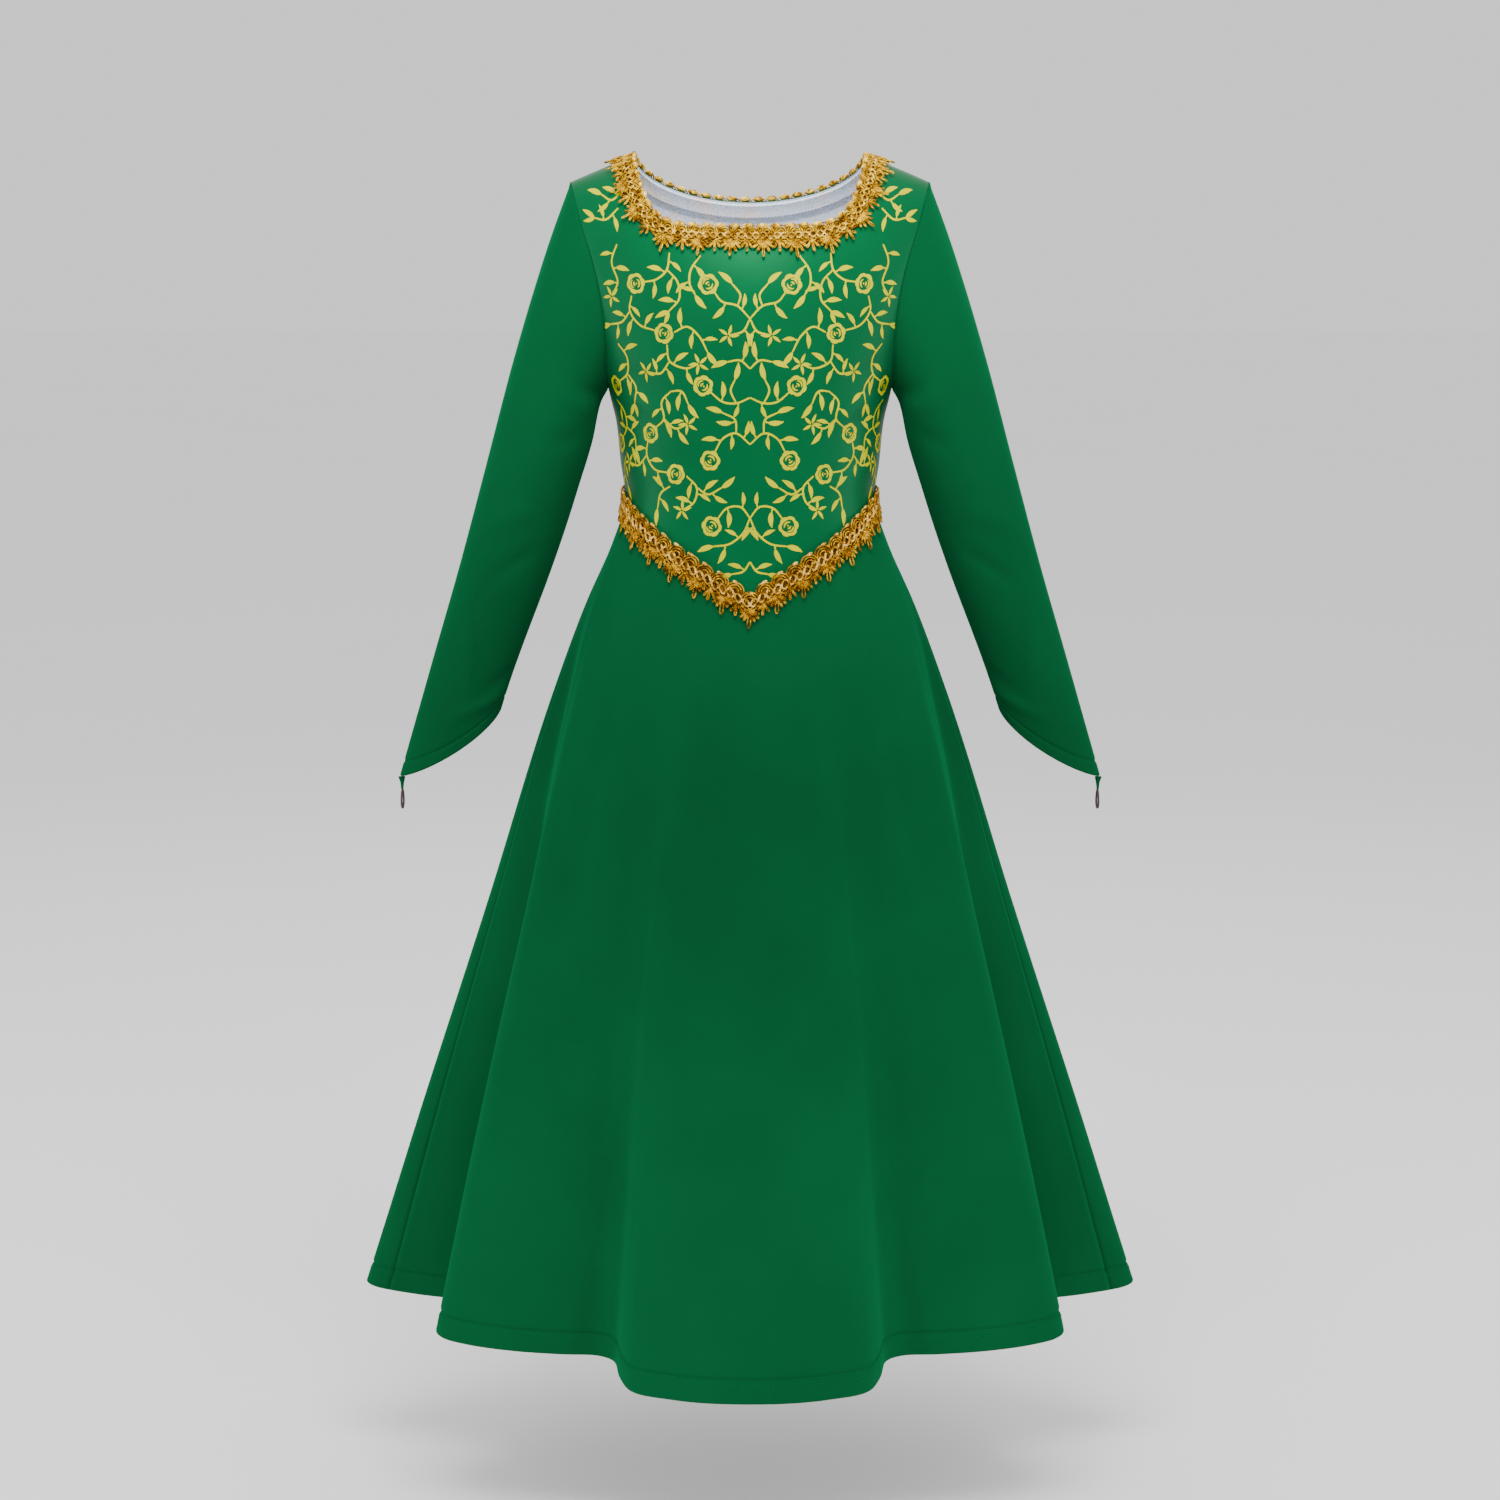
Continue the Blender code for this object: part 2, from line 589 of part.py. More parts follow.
def build():
    for old in list(bpy.data.objects):
        bpy.data.objects.remove(old)
    collection = bpy.data.collections.new("costume_dress")
    bpy.context.scene.collection.children.link(collection)
    holder = bpy.data.objects.new("shoulders", None)
    collection.objects.link(holder)

    wall("bodice_front", bodice_panel(FRONT, 40, 14), "printed_satin", holder, CLOTH)
    wall("bodice_back", bodice_panel(BACK, 38, 13)[:, ::-1], "printed_satin", holder, CLOTH)
    wall("neck_facing", facing_face(), "facing_cloth", holder, FACING_CLOTH)

    for side, name, columns in ((FRONT, "skirt_front", 58), (BACK, "skirt_back", 50)):
        rows, thick = skirt_panel(side, columns, 10)
        wall(name, rows, "green_knit", holder, HEM_CLOTH, thick=thick)

    rows, thick = sleeve_rows(24, 13)
    left = rows[:, ::-1]
    for name, rows in (("sleeve_left", left), ("sleeve_right", mirrored(left))):
        wall(name, rows, "green_knit", holder, HEM_CLOTH, closed=True, thick=thick)

    rows = neck_lace_face(TRIM_CLEARANCE + NECK_LACE.thickness)
    wall("neck_lace", rows, "neck_gold", holder, NECK_LACE.thickness, closed=True)
    rows = waist_lace_face(TRIM_CLEARANCE + WAIST_LACE.thickness)
    wall("waist_lace", rows, "waist_gold", holder, WAIST_LACE.thickness, closed=True)

    for word, sign in (("left", 1), ("right", -1)):
        tab(f"cuff_tab_{word}", sign, holder)
        finger_loop(f"finger_loop_{word}", sign, holder)


build()
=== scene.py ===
"""The looks of a child's costume dress, filled out as when it is worn.

A printed satin bodice, plain knit sleeves and skirt, gold lace at the neck and on the pointed
waist seam. All is in metres in the part's own frame: the origin is midway between the shoulder
seams, +Z is up, the front faces -Y and the wearer's left sleeve is at +X. Heights on the cloth
are given as how far down they lie from the shoulder at the neck.
"""

from __future__ import annotations

import logging
import math
from abc import ABC, abstractmethod
from dataclasses import dataclass, field
from enum import Enum
from typing import ClassVar, NamedTuple, Sequence

import bpy
import numpy as np
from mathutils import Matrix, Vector

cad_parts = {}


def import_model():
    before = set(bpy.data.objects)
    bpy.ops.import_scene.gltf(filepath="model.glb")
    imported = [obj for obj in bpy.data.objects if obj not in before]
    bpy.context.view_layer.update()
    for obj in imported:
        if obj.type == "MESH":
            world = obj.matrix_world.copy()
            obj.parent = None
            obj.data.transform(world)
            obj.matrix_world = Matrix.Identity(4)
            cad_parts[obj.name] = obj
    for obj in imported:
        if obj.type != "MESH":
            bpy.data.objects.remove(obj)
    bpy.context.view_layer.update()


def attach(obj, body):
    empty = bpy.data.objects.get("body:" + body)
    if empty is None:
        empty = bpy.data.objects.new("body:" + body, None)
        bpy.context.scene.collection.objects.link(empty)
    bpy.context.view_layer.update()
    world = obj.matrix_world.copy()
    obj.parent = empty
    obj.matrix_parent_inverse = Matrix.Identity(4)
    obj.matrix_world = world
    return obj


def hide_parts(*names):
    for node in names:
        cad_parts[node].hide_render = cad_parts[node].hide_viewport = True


log = logging.getLogger("costume_dress")

BODY = "root"
SAMPLES = 4000
BAND_SCALE = 2 * math.pi / 20
STITCH_PROUD = 0.00012
Array = np.ndarray
Socket = bpy.types.NodeSocket
Material = bpy.types.Material
Object = bpy.types.Object
Place = tuple[float, float, float]
Colour = tuple[float, float, float, float]
Lines = Sequence[Array]
Links = dict[str | int, object]


class Side(Enum):
    """Which half of the dress a panel is, and which way it lies from the middle plane."""

    FRONT = -1
    BACK = 1


class Section(NamedTuple):
    """A horizontal section of the dress, without the skirt's folds."""

    down: float
    half_width: float
    front: float
    back: float


class Fold(NamedTuple):
    """How far the hem stands out at an angle from the centre front, as a share of the section."""

    angle: float
    out: float


class Station(NamedTuple):
    """A place down a sleeve: both edges as seen from the front, and half its depth."""

    along: float
    outer_x: float
    outer_down: float
    inner_x: float
    inner_down: float
    depth: float


class Crease(NamedTuple):
    """A soft ridge in a piece's own two measures, in millimetres, or a trough below zero."""

    across_1: float
    down_1: float
    across_2: float
    down_2: float
    width: float
    height: float


SECTIONS = (
    Section(0.0183, 0.1334, 0.0800, 0.0740),
    Section(0.0500, 0.1243, 0.0825, 0.0765),
    Section(0.0760, 0.1162, 0.0845, 0.0785),
    Section(0.1040, 0.1100, 0.0855, 0.0795),
    Section(0.1350, 0.1070, 0.0858, 0.0795),
    Section(0.1710, 0.1064, 0.0845, 0.0775),
    Section(0.1950, 0.1010, 0.0825, 0.0750),
    Section(0.2250, 0.0979, 0.0795, 0.0710),
    Section(0.2575, 0.0948, 0.0785, 0.0690),
    Section(0.2850, 0.1035, 0.0805, 0.0725),
    Section(0.3320, 0.1235, 0.0880, 0.0850),
    Section(0.4090, 0.1480, 0.1045, 0.1030),
    Section(0.5650, 0.1885, 0.1380, 0.1370),
    Section(0.7250, 0.2285, 0.1720, 0.1715),
    Section(0.8800, 0.2635, 0.2050, 0.2050),
)

FOLDS = (
    Fold(0.0, 0.195),
    Fold(10.5, 0.170),
    Fold(17.6, 0.105),
    Fold(20.6, 0.020),
    Fold(26.0, -0.130),
    Fold(31.0, -0.165),
    Fold(37.0, -0.120),
    Fold(46.0, -0.045),
    Fold(53.0, 0.005),
    Fold(58.5, 0.030),
    Fold(64.0, 0.010),
    Fold(70.0, -0.090),
    Fold(76.0, -0.175),
    Fold(82.5, -0.130),
    Fold(87.5, 0.010),
    Fold(92.0, 0.130),
    Fold(96.0, 0.168),
    Fold(101.0, 0.115),
    Fold(107.0, -0.050),
    Fold(114.0, -0.160),
    Fold(123.0, -0.110),
    Fold(135.0, 0.090),
    Fold(143.0, 0.150),
    Fold(151.0, 0.070),
    Fold(161.0, -0.120),
    Fold(169.0, -0.080),
    Fold(180.0, 0.110),
)

STATIONS = (
    Station(0.0000, 0.1334, 0.0183, 0.1064, 0.1710, 0.0450),
    Station(0.0226, 0.1453, 0.0492, 0.1122, 0.1815, 0.0440),
    Station(0.0606, 0.1600, 0.0920, 0.1190, 0.2110, 0.0410),
    Station(0.1077, 0.1779, 0.1500, 0.1290, 0.2430, 0.0370),
    Station(0.1635, 0.1980, 0.2230, 0.1400, 0.2770, 0.0330),
    Station(0.2106, 0.2153, 0.2857, 0.1510, 0.3080, 0.0300),
    Station(0.3065, 0.2426, 0.3777, 0.1842, 0.3960, 0.0225),
    Station(0.3995, 0.2691, 0.4668, 0.2110, 0.4846, 0.0180),
)


def smooth(table: Sequence[NamedTuple], column: str, at: Array) -> Array:
    """A soft curve through one column of a table, against the table's first column.

    Args:
        table: Rows whose first column rises.
        column: The column to read.
        at: Where to read it; held at the table's ends.

    Returns:
        The column's value at each place.
    """
    xs = np.array([row[0] for row in table])
    ys = np.array([getattr(row, column) for row in table])
    slopes = np.gradient(ys, xs)
    at = np.clip(at, xs[0], xs[-1])
    i = np.clip(np.searchsorted(xs, at) - 1, 0, len(xs) - 2)
    step = xs[i + 1] - xs[i]
    t = (at - xs[i]) / step
    start = (1 + 2 * t) * (1 - t) ** 2 * ys[i] + t * (1 - t) ** 2 * step * slopes[i]
    end = t * t * (3 - 2 * t) * ys[i + 1] + t * t * (t - 1) * step * slopes[i + 1]
    return start + end


def columns(*parts: Array) -> Array:
    """Measures side by side, such as x, y and z as one point."""
    return np.stack(parts, axis=-1)


def ease(t: Array) -> Array:
    """0 to 1 with level ends."""
    t = np.clip(t, 0, 1)
    return t * t * (3 - 2 * t)


def relief(creases: Sequence[Crease], across: Array, down: Array) -> Array:
    """How far creases lift the cloth, or sink it.

    Args:
        creases: The creases, in the same two measures as the places.
        across: The first measure of each place.
        down: The second measure of each place.

    Returns:
        The lift at each place, in metres.
    """
    total = np.zeros(np.broadcast(across, down).shape)
    for crease in creases:
        c = Crease(*(value / 1000 for value in crease))
        run_across, run_down = c.across_2 - c.across_1, c.down_2 - c.down_1
        reach = run_across**2 + run_down**2
        t = ((across - c.across_1) * run_across + (down - c.down_1) * run_down) / reach
        off_across = across - c.across_1 - t * run_across
        off_down = down - c.down_1 - t * run_down
        taper = np.clip(1 - (2 * t - 1) ** 2, 0, 1) ** 1.2
        total += c.height * taper * np.exp(-(off_across**2 + off_down**2) / c.width**2)
    return total


def lengths_along(points: Array) -> Array:
    """The distance along a line of points, from 0 at its first."""
    steps = np.linalg.norm(np.diff(points, axis=0), axis=1)
    return np.concatenate([[0.0], np.cumsum(steps)])


def unit(vectors: Array) -> Array:
    """The same directions, each of length one."""
    return vectors / np.maximum(np.linalg.norm(vectors, axis=-1, keepdims=True), 1e-12)


@dataclass(frozen=True)
class DressForm:
    """The dress's form, as formulas: where the outer face of each piece lies."""

    length: float = 0.880
    underarm_down: float = 0.171
    seam_side_down: float = 0.2575
    seam_point_drop: float = 0.0710
    seam_point_sharpness: float = 1.45
    neck_half: float = 0.0863
    neck_front_down: float = 0.0525
    neck_front_squareness: int = 8
    neck_front_flatness: float = 0.94
    neck_back_down: float = 0.0322
    neck_back_roundness: float = 0.6
    shoulder_half: float = 0.1334
    shoulder_down: float = 0.0183
    shoulder_slope: float = 0.437
    shoulder_softness: float = 0.012
    front_rounding: float = 0.120
    back_rounding: float = 0.100
    front_reach: float = 0.045
    back_reach: float = 0.042
    fold_start: float = 0.25
    cuff_rise: float = 0.0720
    cuff_roundness: float = 1.1
    cuff_corner: float = 0.36
    sleeve_round_from: float = 0.06
    sleeve_even_from: float = 0.10
    seam_gap: float = 0.0003
    seam_half_gap_down: float = 0.00018

    def shoulder_drop(self, x: Array) -> Array:
        """How far the shoulder seam lies below the neck, this far from the centre."""
        out = np.abs(x) - self.neck_half
        rise = (out + np.sqrt(out**2 + self.shoulder_softness**2)) / 2
        return self.shoulder_slope * (rise - self.shoulder_softness / 2)

    def over_shoulder(self, side: Side, x: Array, down: Array) -> Array:
        """0 on the shoulder seam and 1 where chest or back has its full depth."""
        rounding = self.front_rounding if side is Side.FRONT else self.back_rounding
        t = np.clip((down - self.shoulder_drop(x)) / rounding, 0, 1)
        return np.sqrt(1 - (1 - t) ** 2)

    def depth(self, side: Side, down: Array) -> Array:
        """The section's depth from the middle plane, in front or behind."""
        return smooth(SECTIONS, "front" if side is Side.FRONT else "back", down)

    def bodice_edge(self, side: Side, down: Array) -> tuple[Array, Array]:
        """Where the panel ends at armhole or side seam.

        Args:
            side: Front or back panel.
            down: Heights on the panel.

        Returns:
            The angle at which it ends, and the section's spread.
        """
        at = np.maximum(down, self.shoulder_down + 0.001)
        half = smooth(SECTIONS, "half_width", at)
        span = self.underarm_down - self.shoulder_down
        share = np.clip((self.underarm_down - at) / span, 0, 1)
        most = self.front_reach if side is Side.FRONT else self.back_reach
        reach = most * np.sqrt(np.clip(1 - (2 * share - 1) ** 2, 0, 1))
        full = self.depth(side, at) * self.over_shoulder(side, half, at)
        angle = np.arccos(np.clip(reach / full, 0, 1))
        return angle, smooth(SECTIONS, "half_width", down) / np.sin(angle)

    def bodice_depth(self, side: Side, x: Array, down: Array) -> Array:
        """How far the bodice stands from the middle plane, at a place seen from the front."""
        spread = self.bodice_edge(side, down)[1]
        across = np.sqrt(np.clip(1 - (x / spread) ** 2, 0, 1))
        return self.depth(side, down) * across * self.over_shoulder(side, x, down)

    def bodice_face(self, side: Side, angle: Array, down: Array) -> Array:
        """A point of the bodice's outer face, by the angle round its section."""
        spread = self.bodice_edge(side, down)[1]
        x = spread * np.sin(angle)
        y = self.depth(side, down) * np.cos(angle) * self.over_shoulder(side, x, down)
        return columns(x, side.value * np.hypot(y, self.seam_gap), -down + 0 * x)

    def seam_down(self, angle: Array) -> Array:
        """The waist seam, pointed at the centre front and level behind, by degrees."""
        ahead = np.clip(1 - np.abs(angle) / 90, 0, 1)
        return self.seam_side_down + self.seam_point_drop * ahead**self.seam_point_sharpness

    def neck_down(self, side: Side, x: Array) -> Array:
        """The neck edge: squared in front, scooped at the back."""
        u = np.clip(np.abs(x) / self.neck_half, 0, 1)
        if side is Side.FRONT:
            square = 1 - u**self.neck_front_squareness
            flatness = self.neck_front_flatness
            return self.neck_front_down * (flatness * square + (1 - flatness) * (1 - u * u))
        return self.neck_back_down * (1 - u * u) ** self.neck_back_roundness

    def fold_out(self, angle: Array) -> Array:
        """How far the skirt stands out at its hem, the same on both sides."""
        before = [Fold(-row.angle, row.out) for row in FOLDS[3:0:-1]]
        beyond = [Fold(360 - row.angle, row.out) for row in FOLDS[-2:-5:-1]]
        return smooth(before + list(FOLDS) + beyond, "out", np.abs(angle))

    def skirt_face(self, angle: Array, down: Array) -> Array:
        """A point of the skirt's outer face. The angle is 0 in front, in degrees."""
        turn = np.radians(angle)
        start = self.seam_down(angle)
        fall = np.clip((down - start) / (self.length - start), 0, 1)
        out = 1 + self.fold_out(angle) * fall * ease(fall / self.fold_start)
        ahead, behind = self.depth(Side.FRONT, down), self.depth(Side.BACK, down)
        depth = np.where(np.cos(turn) >= 0, ahead, behind)
        x = smooth(SECTIONS, "half_width", down) * np.sin(turn) * out
        return columns(x, -depth * np.cos(turn) * out, -down + 0 * x)

    def waist_face(self, angle: Array, down: Array) -> Array:
        """The outer face on both sides of the waist seam, bodice above and skirt below."""
        turn = np.radians(angle)
        ahead, behind = self.depth(Side.FRONT, down), self.depth(Side.BACK, down)
        depth = np.where(np.cos(turn) >= 0, ahead, behind)
        half = smooth(SECTIONS, "half_width", down)
        bodice = columns(half * np.sin(turn), -depth * np.cos(turn), -down + 0 * turn)
        above = (down < self.seam_down(angle))[..., None]
        return np.where(above, bodice, self.skirt_face(angle, down))

    def sleeve_outline(self, turn: Array, along: Array) -> tuple[Array, Array]:
        """x and down of a place on the left sleeve, between its outer and inner edges."""
        share = (1 + np.cos(turn)) / 2
        outer_x, inner_x = smooth(STATIONS, "outer_x", along), smooth(STATIONS, "inner_x", along)
        outer = smooth(STATIONS, "outer_down", along)
        inner = smooth(STATIONS, "inner_down", along)
        return inner_x + (outer_x - inner_x) * share, inner + (outer - inner) * share

    def sleeve_face(self, turn: Array, along: Array) -> Array:
        """A point of the left sleeve. Turn is 0 on the outer edge, 90 in front, in degrees."""
        turn = np.radians(turn)
        x, down = self.sleeve_outline(turn, along)
        flat_x, level = self.sleeve_outline(turn, 0 * along)
        level = np.clip(level, self.shoulder_down, self.underarm_down)
        flat = 1 - ease(along / self.sleeve_round_from)
        x = x + (smooth(SECTIONS, "half_width", level) - flat_x) * flat
        depth = smooth(STATIONS, "depth", along)
        share = self.back_reach / self.front_reach
        behind = share + (1 - share) * ease(along / self.sleeve_even_from)
        depth = depth * np.where(np.sin(turn) < 0, behind, 1)
        return columns(x, -depth * np.sin(turn), -down)

    def sleeve_end(self, turn: Array) -> Array:
        """How far along the sleeve its slanted cuff ends."""
        from_point = (1 - np.cos(np.radians(turn))) / 2
        slant = from_point**self.cuff_roundness
        corner = 1 - np.sqrt(np.clip(1 - from_point**2, 0, 1))
        return STATIONS[-1].along - self.cuff_rise * (slant + self.cuff_corner * (corner - slant))


FORM = DressForm()


def outward(rows: Array, closed: bool = False) -> Array:
    """Unit normals of a grid of points that runs down and round to the left sleeve.

    Args:
        rows: Points by row and column.
        closed: Whether the last column meets the first.

    Returns:
        A normal for each point, away from the wearer.
    """
    if closed:
        across = np.roll(rows, -1, 1) - np.roll(rows, 1, 1)
    else:
        across = np.gradient(rows, axis=1)
    return unit(np.cross(np.gradient(rows, axis=0), across))


def grid_faces(rows: Array, closed: bool) -> tuple[Array, Array]:
    """Numbers a grid's points, and its faces.

    Args:
        rows: Points by row and column.
        closed: Whether the last column meets the first.

    Returns:
        The point numbers by row and column, and the faces' corners.
    """
    count_rows, count = rows.shape[:2]
    index = np.arange(count_rows * count).reshape(count_rows, count)
    if closed:
        index = np.concatenate([index, index[:, :1]], axis=1)
    quads = columns(index[:-1, :-1], index[1:, :-1], index[1:, 1:], index[:-1, 1:])
    return index, quads.reshape(-1, 4)


@dataclass
class ClothWall:
    """A panel of cloth, made from its outer face with a wall on the inner side."""

    name: str
    rows: Array
    thickness: Array
    closed: bool = False
    normals: Array | None = None

    def __post_init__(self) -> None:
        """Works out the way to the inner face."""
        if self.normals is None:
            self.normals = outward(self.rows, self.closed)
        self.thickness = np.broadcast_to(self.thickness, self.rows.shape[:1])

    def chart(self) -> Array:
        """Each point's place on the flat cloth in metres, from the panel's middle."""
        across = np.linalg.norm(np.diff(self.rows, axis=1), axis=-1)
        u = np.concatenate([np.zeros((len(self.rows), 1)), np.cumsum(across, axis=1)], axis=1)
        u -= u[:, -1:] / 2
        down = np.linalg.norm(np.diff(self.rows, axis=0), axis=-1).mean(1)
        v = np.concatenate([[0.0], -np.cumsum(down)])
        return columns(u, np.broadcast_to(v[:, None], u.shape))

    def build(self, outside: Material, inside: Material) -> Object:
        """Makes the panel's mesh object.

        Args:
            outside: The right side's material, and the edges'.
            inside: The wrong side's material.

        Returns:
            The panel, with its chart as UV map in metres.
        """
        inner = self.rows - self.normals * self.thickness[:, None, None]
        points = np.concatenate([self.rows.reshape(-1, 3), inner.reshape(-1, 3)])
        index, quads = grid_faces(self.rows, self.closed)
        far = len(points) // 2
        edges = [index[0][::-1], index[-1]]
        if not self.closed:
            edges += [index[:, 0], index[::-1, -1]]
        rims = [columns(e[:-1], e[:-1] + far, e[1:] + far, e[1:]) for e in edges]
        faces = np.concatenate([quads, *rims, quads[:, ::-1] + far])
        inside_faces = np.zeros(len(faces), dtype=np.int32)
        inside_faces[-len(quads) :] = 1
        chart = self.chart().reshape(-1, 2)
        made = mesh_object(self.name, points, faces, np.concatenate([chart, chart]))
        made.data.materials.append(outside)
        made.data.materials.append(inside)
        made.data.polygons.foreach_set("material_index", inside_faces)
        return made


def mesh_object(name: str, points: Array, faces: Array, chart: Array | None = None) -> Object:
    """Makes a smooth mesh object of faces that all have the same number of corners.

    Args:
        name: The piece's name.
        points: Its vertices.
        faces: Vertex numbers, one row a face.
        chart: The UV place of each vertex, if the piece has a UV map.

    Returns:
        The linked object, at the origin.
    """
    corners = faces.shape[1]
    mesh = bpy.data.meshes.new(name)
    mesh.vertices.add(len(points))
    mesh.vertices.foreach_set("co", points.astype(np.float32).ravel())
    mesh.loops.add(faces.size)
    mesh.loops.foreach_set("vertex_index", faces.astype(np.int32).ravel())
    mesh.polygons.add(len(faces))
    mesh.polygons.foreach_set("loop_start", np.arange(len(faces), dtype=np.int32) * corners)
    mesh.polygons.foreach_set("loop_total", np.full(len(faces), corners, dtype=np.int32))
    mesh.update(calc_edges=True)
    mesh.shade_smooth()
    if chart is not None:
        layer = mesh.uv_layers.new(name="cloth")
        layer.data.foreach_set("uv", chart[faces.ravel()].astype(np.float32).ravel())
    return link(bpy.data.objects.new(name, mesh))


def link(made: Object) -> Object:
    """Puts an object in the scene."""
    bpy.context.scene.collection.objects.link(made)
    return made


def line_object(name: str, lines: Lines, closed: bool) -> Object:
    """Makes a mesh of lines only, for a node tree that runs along them.

    Args:
        name: The object's name.
        lines: The points of each line.
        closed: Whether each line's end meets its start.

    Returns:
        The linked object.
    """
    points, edges, start = [], [], 0
    for line in lines:
        n = len(line)
        points.append(line)
        edges += [(start + i, start + (i + 1) % n) for i in range(n if closed else n - 1)]
        start += n
    mesh = bpy.data.meshes.new(name)
    mesh.from_pydata(np.concatenate(points).tolist(), edges, [])
    return link(bpy.data.objects.new(name, mesh))


def mirrored(rows: Array) -> Array:
    """The same rows on the wearer's other side, with the faces still pointing out."""
    return (rows * [-1, 1, 1])[:, ::-1]


def add_node(
    tree: bpy.types.NodeTree, kind: str, links: Links, settings: dict[str, object]
) -> bpy.types.Node:
    """Adds a node to a tree.

    Args:
        tree: The tree.
        kind: Blender's name of the node type.
        links: What each input takes: an output socket, or a plain value.
        settings: The node's own properties.

    Returns:
        The node.
    """
    made = tree.nodes.new(kind)
    for key, value in settings.items():
        setattr(made, key, value)
    for key, value in links.items():
        if isinstance(value, Socket):
            tree.links.new(value, made.inputs[key])
        else:
            made.inputs[key].default_value = value
    return made


class NodeTree:
    """A geometry node tree with named inputs, and the way to run it on an object."""

    def __init__(
        self, name: str, sizes: dict[str, float | int], others: Sequence[tuple[str, str]] = ()
    ) -> None:
        """Starts a tree.

        Args:
            name: The tree's name.
            sizes: The named sizes, with their defaults.
            others: Name and socket type of each other input.
        """
        self.tree = bpy.data.node_groups.new(name, "GeometryNodeTree")
        ports = self.tree.interface
        ports.new_socket("Geometry", in_out="INPUT", socket_type="NodeSocketGeometry")
        ports.new_socket("Geometry", in_out="OUTPUT", socket_type="NodeSocketGeometry")
        for label, value in sizes.items():
            kind = "NodeSocketInt" if isinstance(value, int) else "NodeSocketFloat"
            ports.new_socket(label, in_out="INPUT", socket_type=kind).default_value = value
        for label, kind in (("Material", "NodeSocketMaterial"), *others):
            ports.new_socket(label, in_out="INPUT", socket_type=kind)
        self.start = self.tree.nodes.new("NodeGroupInput")
        self.end = self.tree.nodes.new("NodeGroupOutput")

    def node(self, kind: str, links: Links | None = None, **settings) -> bpy.types.Node:
        """Adds a node.

        Args:
            kind: Blender's name of the node type.
            links: What each input takes: an output socket, or a plain value.
            **settings: The node's own properties.

        Returns:
            The node.
        """
        return add_node(self.tree, kind, links or {}, settings)

    def given(self, label: str) -> Socket:
        """One of the tree's named inputs."""
        return self.start.outputs[label]

    def maths(self, operation: str, first: object, second: object) -> Socket:
        """One step of arithmetic on two values."""
        return self.node("ShaderNodeMath", {0: first, 1: second}, operation=operation).outputs[0]

    def spaced(self, step: str) -> Socket:
        """The lines that come in, as curves with even points this named size apart."""
        curve = self.node("GeometryNodeMeshToCurve", {"Mesh": self.given("Geometry")})
        links = {"Curve": curve.outputs[0], "Length": self.given(step)}
        return self.node("GeometryNodeResampleCurve", links, mode="LENGTH").outputs[0]

    def scaled(self, shape: Socket, x: object, y: object, z: object) -> Socket:
        """A shape, stretched by its own share each way."""
        size = self.node("ShaderNodeCombineXYZ", {"X": x, "Y": y, "Z": z})
        return self.node("GeometryNodeTransform", {"Geometry": shape, "Scale": size.outputs[0]}).outputs[0]

    def finish(self, geometry: Socket) -> None:
        """Ends the tree: smooth faces, real geometry instead of instances, and the material."""
        real = self.node("GeometryNodeRealizeInstances", {"Geometry": geometry})
        soft = self.node("GeometryNodeSetShadeSmooth", {"Geometry": real.outputs[0]})
        coat = self.node(
            "GeometryNodeSetMaterial", {"Geometry": soft.outputs[0], "Material": self.given("Material")}
        )
        self.tree.links.new(coat.outputs[0], self.end.inputs[0])

    def run(self, carrier: Object, name: str, values: dict[str, object]) -> Object:
        """Runs the tree on an object and keeps the result as a plain mesh.

        Args:
            carrier: The object whose geometry goes in; it is removed.
            name: The finished piece's name.
            values: The inputs that differ from their defaults, by name.

        Returns:
            The finished piece.
        """
        modifier = carrier.modifiers.new("nodes", "NODES")
        modifier.node_group = self.tree
        for item in self.tree.interface.items_tree:
            if item.in_out == "INPUT" and item.name in values:
                modifier[item.identifier] = values[item.name]
        graph = bpy.context.evaluated_depsgraph_get()
        mesh = bpy.data.meshes.new_from_object(carrier.evaluated_get(graph))
        mesh.name = name
        bpy.data.objects.remove(carrier)
        return link(bpy.data.objects.new(name, mesh))


class CordNodes(NodeTree):
    """Twisted cords along lines: an oval profile that turns as it goes."""

    def __init__(self) -> None:
        """Builds the tree."""
        sizes = {"Radius": 0.0007, "Flatness": 0.62, "Sides": 6, "Step": 0.00068, "Twist pitch": 0.0030}
        super().__init__("cords", sizes)
        spaced = self.spaced("Step")
        along = self.node("GeometryNodeSplineParameter").outputs["Length"]
        turns = self.maths("DIVIDE", along, self.given("Twist pitch"))
        tilt = self.maths("MULTIPLY", turns, 2 * math.pi)
        twisted = self.node("GeometryNodeSetCurveTilt", {"Curve": spaced, "Tilt": tilt})
        round_sizes = {"Resolution": self.given("Sides"), "Radius": self.given("Radius")}
        ring = self.node("GeometryNodeCurvePrimitiveCircle", round_sizes)
        oval = self.scaled(ring.outputs["Curve"], 1.0, self.given("Flatness"), 1.0)
        links = {"Curve": twisted.outputs[0], "Profile Curve": oval, "Fill Caps": True}
        self.finish(self.node("GeometryNodeCurveToMesh", links).outputs[0])


